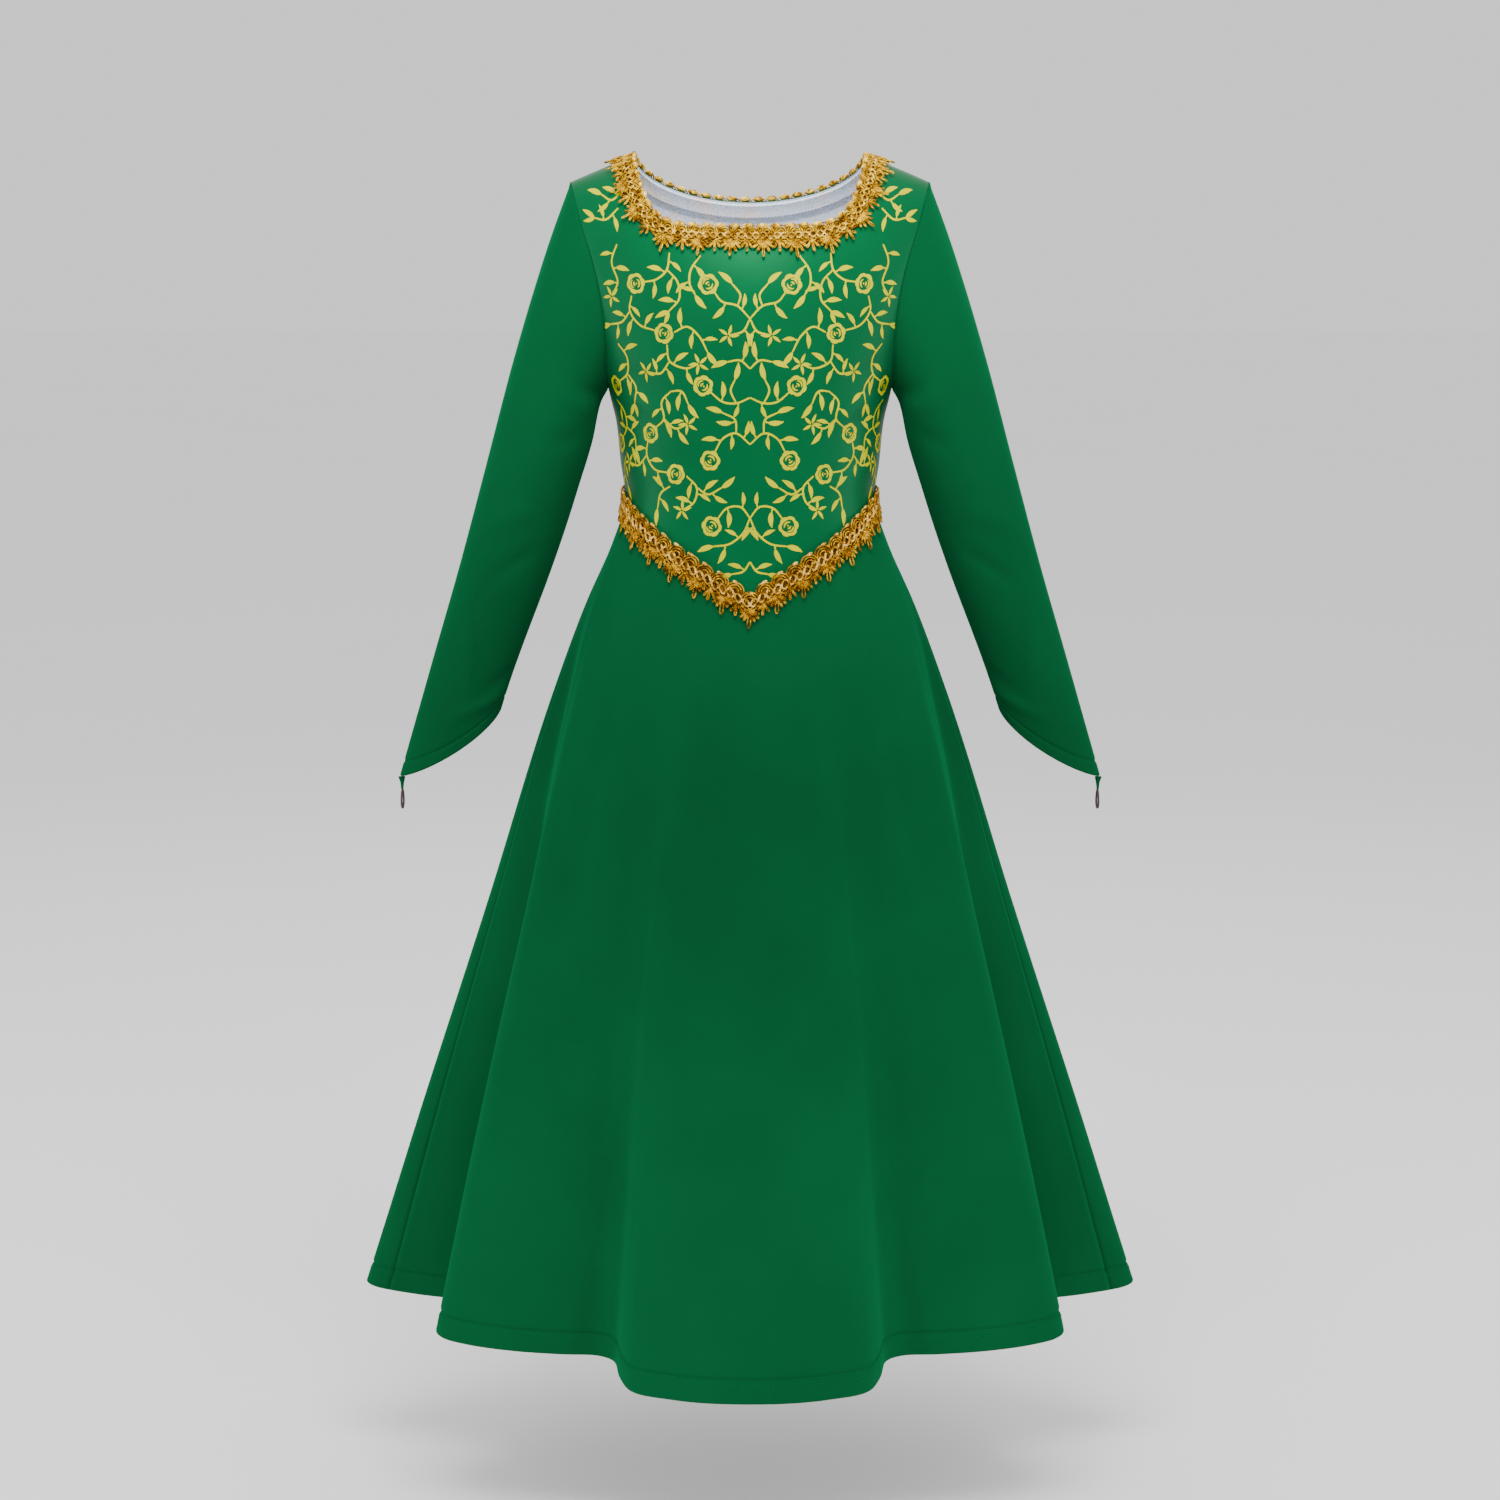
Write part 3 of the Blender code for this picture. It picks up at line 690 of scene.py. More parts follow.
class StitchNodes(NodeTree):
    """A row of stitches along lines, each a small bead of thread lying along its line."""

    def __init__(self) -> None:
        """Builds the tree."""
        sizes = {"Pitch": 0.003, "Length": 0.0022, "Thickness": 0.0005, "Roundness": 1}
        super().__init__("stitches", sizes)
        spaced = self.spaced("Pitch")
        ball = {"Radius": 0.5, "Subdivisions": self.given("Roundness")}
        bead = self.node("GeometryNodeMeshIcoSphere", ball).outputs[0]
        thick = self.given("Thickness")
        shaped = self.scaled(bead, self.given("Length"), thick, thick)
        tangent = self.node("GeometryNodeInputTangent").outputs[0]
        turn = self.node("FunctionNodeAlignRotationToVector", {"Vector": tangent}, axis="X")
        links = {"Points": spaced, "Instance": shaped, "Rotation": turn.outputs[0]}
        self.finish(self.node("GeometryNodeInstanceOnPoints", links).outputs[0])


class MotifNodes(NodeTree):
    """Copies of one lace motif at points that carry the cloth's normal and the way outwards."""

    def __init__(self) -> None:
        """Builds the tree."""
        sizes = {"Size unevenness": 0.07, "Turn unevenness": 0.12, "Seed": 4}
        super().__init__("motifs", sizes, [("Motif", "NodeSocketObject")])
        stand = self.node("FunctionNodeAlignRotationToVector", {"Vector": self.stored("normal")}, axis="Z")
        links = {"Rotation": stand.outputs[0], "Vector": self.stored("way_out")}
        face = self.node("FunctionNodeAlignRotationToVector", links, axis="Y", pivot_axis="Z")
        spread, lean = self.given("Size unevenness"), self.given("Turn unevenness")
        size = self.random(self.maths("SUBTRACT", 1.0, spread), self.maths("ADD", 1.0, spread))
        sway = self.random(self.maths("SUBTRACT", 0.0, lean), lean)
        angle = self.node("ShaderNodeCombineXYZ", {"Z": sway})
        turn = self.node("FunctionNodeEulerToRotation", {"Euler": angle.outputs[0]})
        links = {"Rotation": face.outputs[0], "Rotate By": turn.outputs[0]}
        whole = self.node("FunctionNodeRotateRotation", links, rotation_space="LOCAL")
        motif = self.node("GeometryNodeObjectInfo", {"Object": self.given("Motif")})
        links = {"Points": self.given("Geometry"), "Instance": motif.outputs["Geometry"]}
        links |= {"Rotation": whole.outputs[0], "Scale": size}
        self.finish(self.node("GeometryNodeInstanceOnPoints", links).outputs[0])

    def stored(self, name: str) -> Socket:
        """A direction that each point carries."""
        kind = "GeometryNodeInputNamedAttribute"
        return self.node(kind, {"Name": name}, data_type="FLOAT_VECTOR").outputs[0]

    def random(self, low: object, high: object) -> Socket:
        """A value drawn for each point from the tree's seed."""
        links = {2: low, 3: high, "Seed": self.given("Seed")}
        return self.node("FunctionNodeRandomValue", links, data_type="FLOAT").outputs[1]


def own(piece: Object, slot: str, *nodes: str) -> Object:
    """Gives a finished piece to the dress.

    Args:
        piece: The piece.
        slot: The record's material slot; not used.
        *nodes: The solids that it stands for, if any.

    Returns:
        The same piece.
    """
    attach(piece, BODY)
    if nodes:
        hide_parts(*nodes)
    log.info("%s: %d faces", piece.name, len(piece.data.polygons))
    return piece


class Thread(NamedTuple):
    """The sizes of a row of stitches: how far apart, how long and how thick they are."""

    pitch: float
    length: float
    thickness: float
    roundness: int = 1


@dataclass
class Workroom:
    """The node trees that the pieces share, built once, and the ways to work with them."""

    cords: CordNodes = field(default_factory=CordNodes)
    stitches: StitchNodes = field(default_factory=StitchNodes)
    motifs: MotifNodes = field(default_factory=MotifNodes)

    def sew(
        self, name: str, slot: str, lines: Lines, closed: bool, thread: Thread, coat: Material
    ) -> Object:
        """Makes a piece of stitches along lines.

        Args:
            name: The piece's name.
            slot: The record's material slot.
            lines: The lines.
            closed: Whether they are closed.
            thread: The stitches' sizes.
            coat: Their material.

        Returns:
            The piece.
        """
        values = {size.capitalize(): value for size, value in thread._asdict().items()}
        carrier = line_object("sewing_lines", lines, closed)
        return own(self.stitches.run(carrier, name, values | {"Material": coat}), slot)

    def lay(
        self, name: str, lines: Lines, closed: bool, sizes: dict[str, float | int], coat: Material
    ) -> Object:
        """Makes a piece of cords along lines.

        Args:
            name: The piece's name.
            lines: The lines.
            closed: Whether they are closed.
            sizes: The cord's sizes that differ from the node tree's own.
            coat: The cord's material.

        Returns:
            The piece, which isn't the dress's own yet.
        """
        return self.cords.run(line_object("cord_lines", lines, closed), name, sizes | {"Material": coat})


class Shader:
    """A material under construction."""

    def __init__(self, name: str) -> None:
        """Starts a material with one Principled shader."""
        self.material = bpy.data.materials.new(name)
        self.material.use_nodes = True
        self.tree = self.material.node_tree
        self.skin = self.tree.nodes["Principled BSDF"]

    def node(self, kind: str, links: Links, **settings) -> bpy.types.Node:
        """Adds a node with its inputs linked or set, and its own properties."""
        return add_node(self.tree, kind, links, settings)

    def place(self, output: str, stretch: float = 1.0) -> Socket:
        """Coordinates of the piece, drawn out along the second of them."""
        where = self.node("ShaderNodeTexCoord", {}).outputs[output]
        scale = (1.0, stretch, 1.0)
        return self.node("ShaderNodeMapping", {"Vector": where, "Scale": scale}).outputs[0]

    def noise(self, where: Socket, scale: float, detail: float = 2.0) -> Socket:
        """Soft noise from 0 to 1."""
        links = {"Vector": where, "Scale": scale, "Detail": detail}
        return self.node("ShaderNodeTexNoise", links).outputs[0]

    def bands(self, where: Socket, pitch: float, way: str, **more: float) -> Socket:
        """Even bands this far apart, with underscores for spaces in the other inputs' names."""
        links = {"Vector": where, "Scale": BAND_SCALE / pitch}
        links |= {key.replace("_", " "): value for key, value in more.items()}
        return self.node("ShaderNodeTexWave", links, bands_direction=way).outputs["Fac"]

    def ramp(self, value: Socket, stops: Sequence[tuple[float, Colour]]) -> Socket:
        """Colours against a value."""
        made = self.node("ShaderNodeValToRGB", {0: value})
        band = made.color_ramp
        while len(band.elements) < len(stops):
            band.elements.new(0.5)
        for element, (place, colour) in zip(band.elements, stops):
            element.position = place
            element.color = colour
        return made.outputs[0]

    def mix(self, share: object, first: object, second: object) -> Socket:
        """A blend of two values."""
        return self.node("ShaderNodeMix", {0: share, 2: first, 3: second}, data_type="FLOAT").outputs[0]

    def bump(self, height: Socket, strength: float, distance: float) -> None:
        """Raises the surface by a height from 0 to 1."""
        links = {"Height": height, "Strength": strength, "Distance": distance}
        made = self.node("ShaderNodeBump", links)
        self.tree.links.new(made.outputs[0], self.skin.inputs["Normal"])

    def colour(self, source: Socket) -> None:
        """Links the surface's colour."""
        self.tree.links.new(source, self.skin.inputs["Base Color"])

    def set(self, **values: object) -> None:
        """Sets the shader's own sockets, with underscores for spaces."""
        for key, value in values.items():
            self.skin.inputs[key.replace("_", " ")].default_value = value


def tone(colour: Colour, share: float) -> Colour:
    """The same colour, lighter or darker."""
    return (colour[0] * share, colour[1] * share, colour[2] * share, 1.0)


@dataclass(frozen=True)
class KnitFinish:
    """Plain stretch knit: fine wales, a soft nap and slow unevenness of the dye."""

    name: str = "green_knit"
    colour: Colour = (0.0028, 0.0630, 0.0200, 1.0)
    nap: Colour = (0.040, 1.0, 0.38, 1.0)
    nap_weight: float = 0.09
    roughness: float = 0.62
    wale: float = 0.0010
    depth: float = 0.00010

    def material(self) -> Material:
        """Builds the cloth."""
        shader = Shader(self.name)
        flat = shader.place("UV")
        wales = shader.bands(flat, self.wale, "X", Distortion=0.6, Detail=1.0, Detail_Scale=2.0)
        grain = shader.noise(shader.place("UV", stretch=0.45), 900.0)
        drift = shader.noise(flat, 9.0, 3.0)
        height = shader.mix(0.55, wales, grain)
        body = shader.ramp(drift, [(0.3, tone(self.colour, 0.93)), (0.7, tone(self.colour, 1.07))])
        shader.colour(body)
        shader.bump(height, 0.35, self.depth)
        shader.set(Roughness=self.roughness, Specular_IOR_Level=0.0)
        shader.set(Sheen_Weight=self.nap_weight, Sheen_Roughness=0.45, Sheen_Tint=self.nap)
        return shader.material


@dataclass(frozen=True)
class SatinFinish:
    """Stretch satin: a fine twill with a broad soft gloss."""

    name: str = "printed_satin"
    colour: Colour = (0.0020, 0.0700, 0.0220, 1.0)
    shine: Colour = (0.012, 1.0, 0.40, 1.0)
    gloss: float = 0.44
    twill: float = 0.0008
    depth: float = 0.00006

    def material(self) -> Material:
        """Builds the cloth."""
        shader = Shader(self.name)
        flat = shader.place("UV")
        twill = shader.bands(flat, self.twill, "DIAGONAL", Distortion=0.3)
        grain = shader.noise(shader.place("UV", stretch=0.3), 1100.0)
        drift = shader.noise(flat, 12.0, 3.0)
        body = shader.ramp(drift, [(0.3, tone(self.colour, 0.94)), (0.7, tone(self.colour, 1.06))])
        shader.colour(body)
        shader.bump(shader.mix(0.5, twill, grain), 0.3, self.depth)
        shader.set(Roughness=self.gloss, Specular_IOR_Level=0.17, Specular_Tint=self.shine)
        shader.set(Sheen_Weight=0.02, Sheen_Roughness=0.5, Sheen_Tint=self.shine)
        return shader.material


@dataclass(frozen=True)
class PrintFinish:
    """The yellow print, a thin soft film with the twill showing through."""

    name: str = "yellow_print"
    colour: Colour = (0.45, 0.43, 0.0002, 1.0)
    shine: Colour = (1.0, 0.95, 0.02, 1.0)

    def material(self) -> Material:
        """Builds the print."""
        shader = Shader(self.name)
        flat = shader.place("UV")
        wear = shader.noise(flat, 60.0, 4.0)
        grain = shader.noise(flat, 1300.0)
        shader.colour(shader.ramp(wear, [(0.30, tone(self.colour, 0.86)), (0.62, self.colour)]))
        shader.bump(grain, 0.25, 0.00008)
        shader.set(Roughness=0.55, Specular_IOR_Level=0.08, Specular_Tint=self.shine)
        return shader.material


@dataclass(frozen=True)
class WrongSideFinish:
    """The pale wrong side of the printed cloth, with the print showing faintly through."""

    name: str = "facing_cloth"
    colour: Colour = (0.800, 0.880, 1.000, 1.0)
    strike_through: Colour = (0.950, 0.840, 0.790, 1.0)

    def material(self) -> Material:
        """Builds the cloth."""
        shader = Shader(self.name)
        flat = shader.place("UV")
        marks = shader.noise(flat, 42.0, 2.0)
        mottle = shader.noise(flat, 420.0, 3.0)
        body = shader.ramp(marks, [(0.50, self.colour), (0.66, self.strike_through)])
        speck = shader.ramp(mottle, [(0.35, (0.84, 0.84, 0.84, 1)), (0.65, (1.08, 1.08, 1.08, 1))])
        links = {0: 1.0, 6: body, 7: speck}
        both = shader.node("ShaderNodeMix", links, data_type="RGBA", blend_type="MULTIPLY")
        shader.colour(both.outputs[2])
        shader.bump(mottle, 0.4, 0.00018)
        shader.set(Roughness=0.8, Specular_IOR_Level=0.25, Sheen_Weight=0.2)
        return shader.material


@dataclass(frozen=True)
class GoldThreadFinish:
    """Twisted gold thread: bright strands over brown shade, with glints, painted into the colour as noise
    patches of dark painted shade and pale painted highlight.
    """

    name: str
    shade: Colour
    body: Colour
    light: Colour
    metal: float = 0.15
    roughness: float = 0.45
    shine: Colour = (1.0, 0.66, 0.12, 1.0)

    def material(self) -> Material:
        """Builds the thread."""
        shader = Shader(self.name)
        place = shader.place("Object")
        strand = shader.noise(place, 1500.0, 2.0)
        patch = shader.noise(place, 260.0, 2.0)
        both = shader.mix(0.55, strand, patch)
        # Painted light: the shade stop is painted shade and the light stop a painted highlight, spread
        # over the thread in noise patches.
        shader.colour(shader.ramp(both, [(0.41, self.shade), (0.50, self.body), (0.61, self.light)]))
        shader.bump(strand, 0.8, 0.00035)
        shader.set(Roughness=self.roughness, Metallic=self.metal)
        shader.set(Specular_IOR_Level=0.3, Specular_Tint=self.shine)
        return shader.material


@dataclass(frozen=True)
class ElasticFinish:
    """Covered elastic, ribbed across its length."""

    name: str = "elastic"
    colour: Colour = (0.045, 0.018, 0.028, 1.0)
    ribs: float = 420.0

    def material(self) -> Material:
        """Builds the elastic."""
        shader = Shader(self.name)
        place = shader.place("Object")
        ribs = shader.node("ShaderNodeTexWave", {"Vector": place, "Scale": self.ribs}, bands_direction="Z")
        fuzz = shader.noise(place, 1800.0)
        shader.colour(shader.ramp(fuzz, [(0.35, tone(self.colour, 0.6)), (0.7, tone(self.colour, 1.9))]))
        shader.bump(ribs.outputs["Fac"], 0.5, 0.0002)
        shader.set(Roughness=0.7, Sheen_Weight=0.2)
        return shader.material


@dataclass(frozen=True)
class FloorFinish:
    """Pale studio floor."""

    name: str = "pale_floor"
    colour: Colour = (0.98, 0.98, 0.98, 1.0)

    def material(self) -> Material:
        """Builds the floor."""
        shader = Shader(self.name)
        place = shader.place("Object")
        haze = shader.noise(place, 1.2, 2.0)
        shader.colour(shader.ramp(haze, [(0.3, tone(self.colour, 0.985)), (0.7, self.colour)]))
        shader.set(Roughness=0.75, Specular_IOR_Level=0.2)
        return shader.material


@dataclass(frozen=True)
class LaceGold:
    """The three materials of one lace: its cords; a lighter copy of their gold for its paler strands and
    beads, a painted highlight; and a darker copy for the net under the cords, painted shade between them.
    """

    cords: Material
    light: Material
    ground: Material


@dataclass(frozen=True)
class Finishes:
    """Every material of the dress."""

    satin: Material
    print_ink: Material
    knit: Material
    knit_inside: Material
    thread: Material
    wrong_side: Material
    facing_thread: Material
    neck_gold: LaceGold
    waist_gold: LaceGold
    elastic: Material


KNIT_INSIDE = KnitFinish(name="knit_inside", colour=(0.0010, 0.045, 0.0120, 1.0), nap_weight=0.05)
GREEN_THREAD = KnitFinish(name="green_thread", colour=(0.004, 0.100, 0.036, 1.0), roughness=0.45)
FACING_THREAD = WrongSideFinish(name="facing_thread", colour=(0.22, 0.25, 0.31, 1.0))
# Each lace has three golds: the cords' own; a lighter copy for strands and beads, a painted highlight; and
# a darker copy for the net under the cords, painted shade.
NECK_GOLD = (
    GoldThreadFinish(
        "neck_gold", (0.070, 0.020, 0.0002, 1), (0.36, 0.172, 0.0008, 1), (0.80, 0.50, 0.010, 1)
    ),
    GoldThreadFinish(
        "neck_gold_light", (0.16, 0.055, 0.001, 1), (0.50, 0.27, 0.006, 1), (0.95, 0.70, 0.14, 1)
    ),
    GoldThreadFinish(
        "neck_gold_ground", (0.035, 0.011, 0.0005, 1), (0.15, 0.060, 0.002, 1), (0.38, 0.19, 0.010, 1)
    ),
)
WAIST_GOLD = (
    GoldThreadFinish(
        "waist_gold", (0.055, 0.015, 0.0002, 1), (0.29, 0.122, 0.001, 1), (0.70, 0.38, 0.015, 1)
    ),
    GoldThreadFinish(
        "waist_gold_light", (0.13, 0.046, 0.002, 1), (0.44, 0.22, 0.015, 1), (0.90, 0.60, 0.15, 1)
    ),
    GoldThreadFinish(
        "waist_gold_ground", (0.020, 0.0065, 0.0005, 1), (0.085, 0.031, 0.002, 1), (0.24, 0.105, 0.010, 1)
    ),
)


def make_finishes() -> Finishes:
    """Builds every material once."""
    return Finishes(
        satin=SatinFinish().material(),
        print_ink=PrintFinish().material(),
        knit=KnitFinish().material(),
        knit_inside=KNIT_INSIDE.material(),
        thread=GREEN_THREAD.material(),
        wrong_side=WrongSideFinish().material(),
        facing_thread=FACING_THREAD.material(),
        neck_gold=LaceGold(*(finish.material() for finish in NECK_GOLD)),
        waist_gold=LaceGold(*(finish.material() for finish in WAIST_GOLD)),
        elastic=ElasticFinish().material(),
    )


BODICE_CREASES = {
    Side.FRONT: (
        Crease(-100, 150, -58, 176, 7, -1.1),
        Crease(-96, 166, -50, 200, 6, 0.9),
        Crease(101, 146, 62, 170, 6.5, -1),
        Crease(95, 170, 55, 196, 7.5, 1),
        Crease(-85, 215, -30, 228, 6.5, -0.8),
        Crease(88, 222, 40, 236, 5.5, -0.7),
        Crease(-60, 255, -12, 262, 6, 0.6),
        Crease(52, 262, 8, 270, 7, 0.6),
        Crease(-112, 60, -88, 110, 7, -1),
        Crease(112, 62, 90, 104, 6, -0.9),
        Crease(-20, 95, 10, 170, 20, 1.2),
    ),
    Side.BACK: (
        Crease(-98, 140, -40, 165, 8, -1.2),
        Crease(96, 150, 48, 172, 7, -1),
        Crease(-70, 205, 0, 216, 6, 0.9),
        Crease(80, 214, 20, 226, 7, 0.9),
        Crease(-60, 228, 30, 236, 6.5, -1),
        Crease(-15, 60, -4, 150, 14, -1.2),
    ),
}


@dataclass
class Bodice:
    """The front and back bodice."""

    cloth: float = 0.0012
    columns: int = 170
    rows_down: int = 112

    def surface(self, side: Side, angle: Array, down: Array) -> Array:
        """The bodice's outer face with its creases."""
        base = FORM.bodice_face(side, angle, down)
        lift = relief(BODICE_CREASES[side], base[..., 0], down)
        return base + self.direction(side, base) * lift[..., None]

    @staticmethod
    def direction(side: Side, base: Array) -> Array:
        """The way out of the bodice at a place on it."""
        x, down, step = base[..., 0], -base[..., 2], 0.0004
        right, left = FORM.bodice_depth(side, x + step, down), FORM.bodice_depth(side, x - step, down)
        below, above = FORM.bodice_depth(side, x, down + step), FORM.bodice_depth(side, x, down - step)
        return unit(columns(left - right, 2 * step * side.value + 0 * x, below - above))

    def top_line(self, side: Side) -> tuple[Array, Array]:
        """Even places along shoulder seams and neck edge, from right tip to left tip.

        Args:
            side: Front or back.

        Returns:
            x and down of each place.
        """
        q = np.linspace(0, 1, 900)
        neck_x = FORM.neck_half * (1 - q * q)
        shoulder_x = np.linspace(FORM.shoulder_half, FORM.neck_half, 200)[:-1]
        x = np.concatenate([shoulder_x, neck_x])
        down = np.concatenate([FORM.shoulder_drop(shoulder_x), FORM.neck_down(side, neck_x)])
        length = lengths_along(columns(x, down))
        at = np.linspace(0, length[-1], self.columns // 2 + 1)
        half_x, half_down = np.interp(at, length, x), np.interp(at, length, down)
        x = np.concatenate([-half_x, half_x[-2::-1]])
        return x, np.concatenate([half_down, half_down[-2::-1]])

    def panel_rows(self, side: Side) -> Array:
        """The panel's outer face, rows from the top down."""
        top_x, top_down = self.top_line(side)
        top_angle, top_spread = FORM.bodice_edge(side, top_down)
        top_share = np.arcsin(np.clip(top_x / top_spread, -1, 1)) / top_angle
        share_below = np.linspace(-1, 1, self.columns + 1)
        angle_below = share_below * 90 if side is Side.FRONT else 180 - share_below * 90
        down_below = FORM.seam_down(angle_below) - FORM.seam_half_gap_down
        v = np.linspace(0, 1, self.rows_down + 1)[:, None]
        down = top_down + (down_below - top_down) * ease(v) ** 1.25
        share = top_share + (share_below - top_share) * ease(v)
        angle = FORM.bodice_edge(side, down)[0]
        rows = self.surface(side, share * angle, down)
        return rows if side is Side.FRONT else rows[:, ::-1]

    def build(self, finishes: Finishes, carried: dict[Side, list[Object]]) -> None:
        """Makes both panels.

        Args:
            finishes: The materials.
            carried: The pieces that lie on each panel; not used.
        """
        for side, name in ((Side.FRONT, "bodice_front"), (Side.BACK, "bodice_back")):
            rows = self.panel_rows(side)
            way_out = self.direction(side, rows)
            wall = ClothWall(f"cloth_{name}", rows, np.array(self.cloth), normals=way_out)
            made = own(wall.build(finishes.satin, finishes.wrong_side), "printed_satin", name)


class Tip(Enum):
    """What a printed vine ends in."""

    ROSE = "rose"
    BLOSSOM = "blossom"
    LEAF = "leaf"
    PAIR = "pair of leaves"


class Vine(NamedTuple):
    """A printed vine on the flat cloth, from its root to its tip, in millimetres.

    Each point of its path is how far across from the centre it lies and how far down.
    """

    path: tuple[tuple[float, float], ...]
    leaves: int
    tip: Tip


VINES = (
    Vine(((0, 117), (9, 108), (20, 105), (26, 98)), 2, Tip.ROSE),
    Vine(((0, 117), (5, 126), (15, 129)), 1, Tip.BLOSSOM),
    Vine(((9, 108), (7, 100), (13, 92)), 0, Tip.LEAF),
    Vine(((59, 70), (61, 82), (69, 89), (79, 91)), 3, Tip.ROSE),
    Vine(((61, 82), (53, 91), (52, 103), (60, 112)), 3, Tip.PAIR),
    Vine(((36, 72), (43, 82), (44, 92), (40, 100)), 2, Tip.LEAF),
    Vine(((100, 64), (106, 77), (102, 91), (108, 101)), 3, Tip.BLOSSOM),
    Vine(((98, 38), (108, 46), (118, 45)), 2, Tip.PAIR),
    Vine(((94, 24), (103, 32), (112, 28)), 2, Tip.LEAF),
    Vine(((90, 101), (92, 112), (84, 122), (71, 126)), 3, Tip.ROSE),
    Vine(((92, 112), (100, 120), (112, 122)), 2, Tip.LEAF),
    Vine(((56, 127), (46, 123), (37, 130), (31, 141)), 3, Tip.LEAF),
    Vine(((62, 136), (60, 148), (48, 153), (38, 150)), 3, Tip.BLOSSOM),
    Vine(((60, 148), (68, 157), (80, 156)), 2, Tip.BLOSSOM),
    Vine(((0, 153), (7, 147), (16, 148)), 1, Tip.LEAF),
    Vine(((0, 174), (10, 178), (20, 177), (29, 170)), 2, Tip.ROSE),
    Vine(((10, 178), (14, 169), (11, 161)), 0, Tip.LEAF),
    Vine(((106, 136), (98, 146), (100, 158), (110, 164)), 3, Tip.ROSE),
    Vine(((100, 158), (92, 168), (94, 180)), 2, Tip.PAIR),
    Vine(((60, 170), (68, 178), (66, 190), (74, 197)), 3, Tip.ROSE),
    Vine(((60, 170), (51, 170), (46, 179)), 1, Tip.LEAF),
    Vine(((66, 190), (57, 197), (47, 194)), 2, Tip.BLOSSOM),
    Vine(((0, 208), (10, 200), (20, 204), (26, 214)), 3, Tip.ROSE),
    Vine(((10, 200), (11, 190), (20, 185)), 1, Tip.LEAF),
    Vine(((120, 178), (110, 186), (108, 198), (116, 206)), 3, Tip.ROSE),
    Vine(((108, 198), (98, 204), (96, 214)), 2, Tip.LEAF),
    Vine(((82, 206), (84, 218), (76, 228), (64, 230)), 3, Tip.ROSE),
    Vine(((84, 218), (94, 226), (106, 224)), 2, Tip.BLOSSOM),
    Vine(((48, 232), (40, 240), (42, 251), (51, 257)), 3, Tip.BLOSSOM),
    Vine(((40, 240), (31, 245), (21, 240)), 2, Tip.LEAF),
    Vine(((0, 262), (7, 254), (17, 255), (24, 263)), 2, Tip.ROSE),
    Vine(((0, 262), (5, 273), (15, 281), (27, 283)), 3, Tip.LEAF),
    Vine(((62, 240), (71, 246), (74, 257)), 2, Tip.LEAF),
    Vine(((112, 220), (118, 230), (114, 242)), 2, Tip.LEAF),
    Vine(((0, 294), (5, 301), (13, 303)), 1, Tip.LEAF),
)

Shape = tuple[Array, Array]


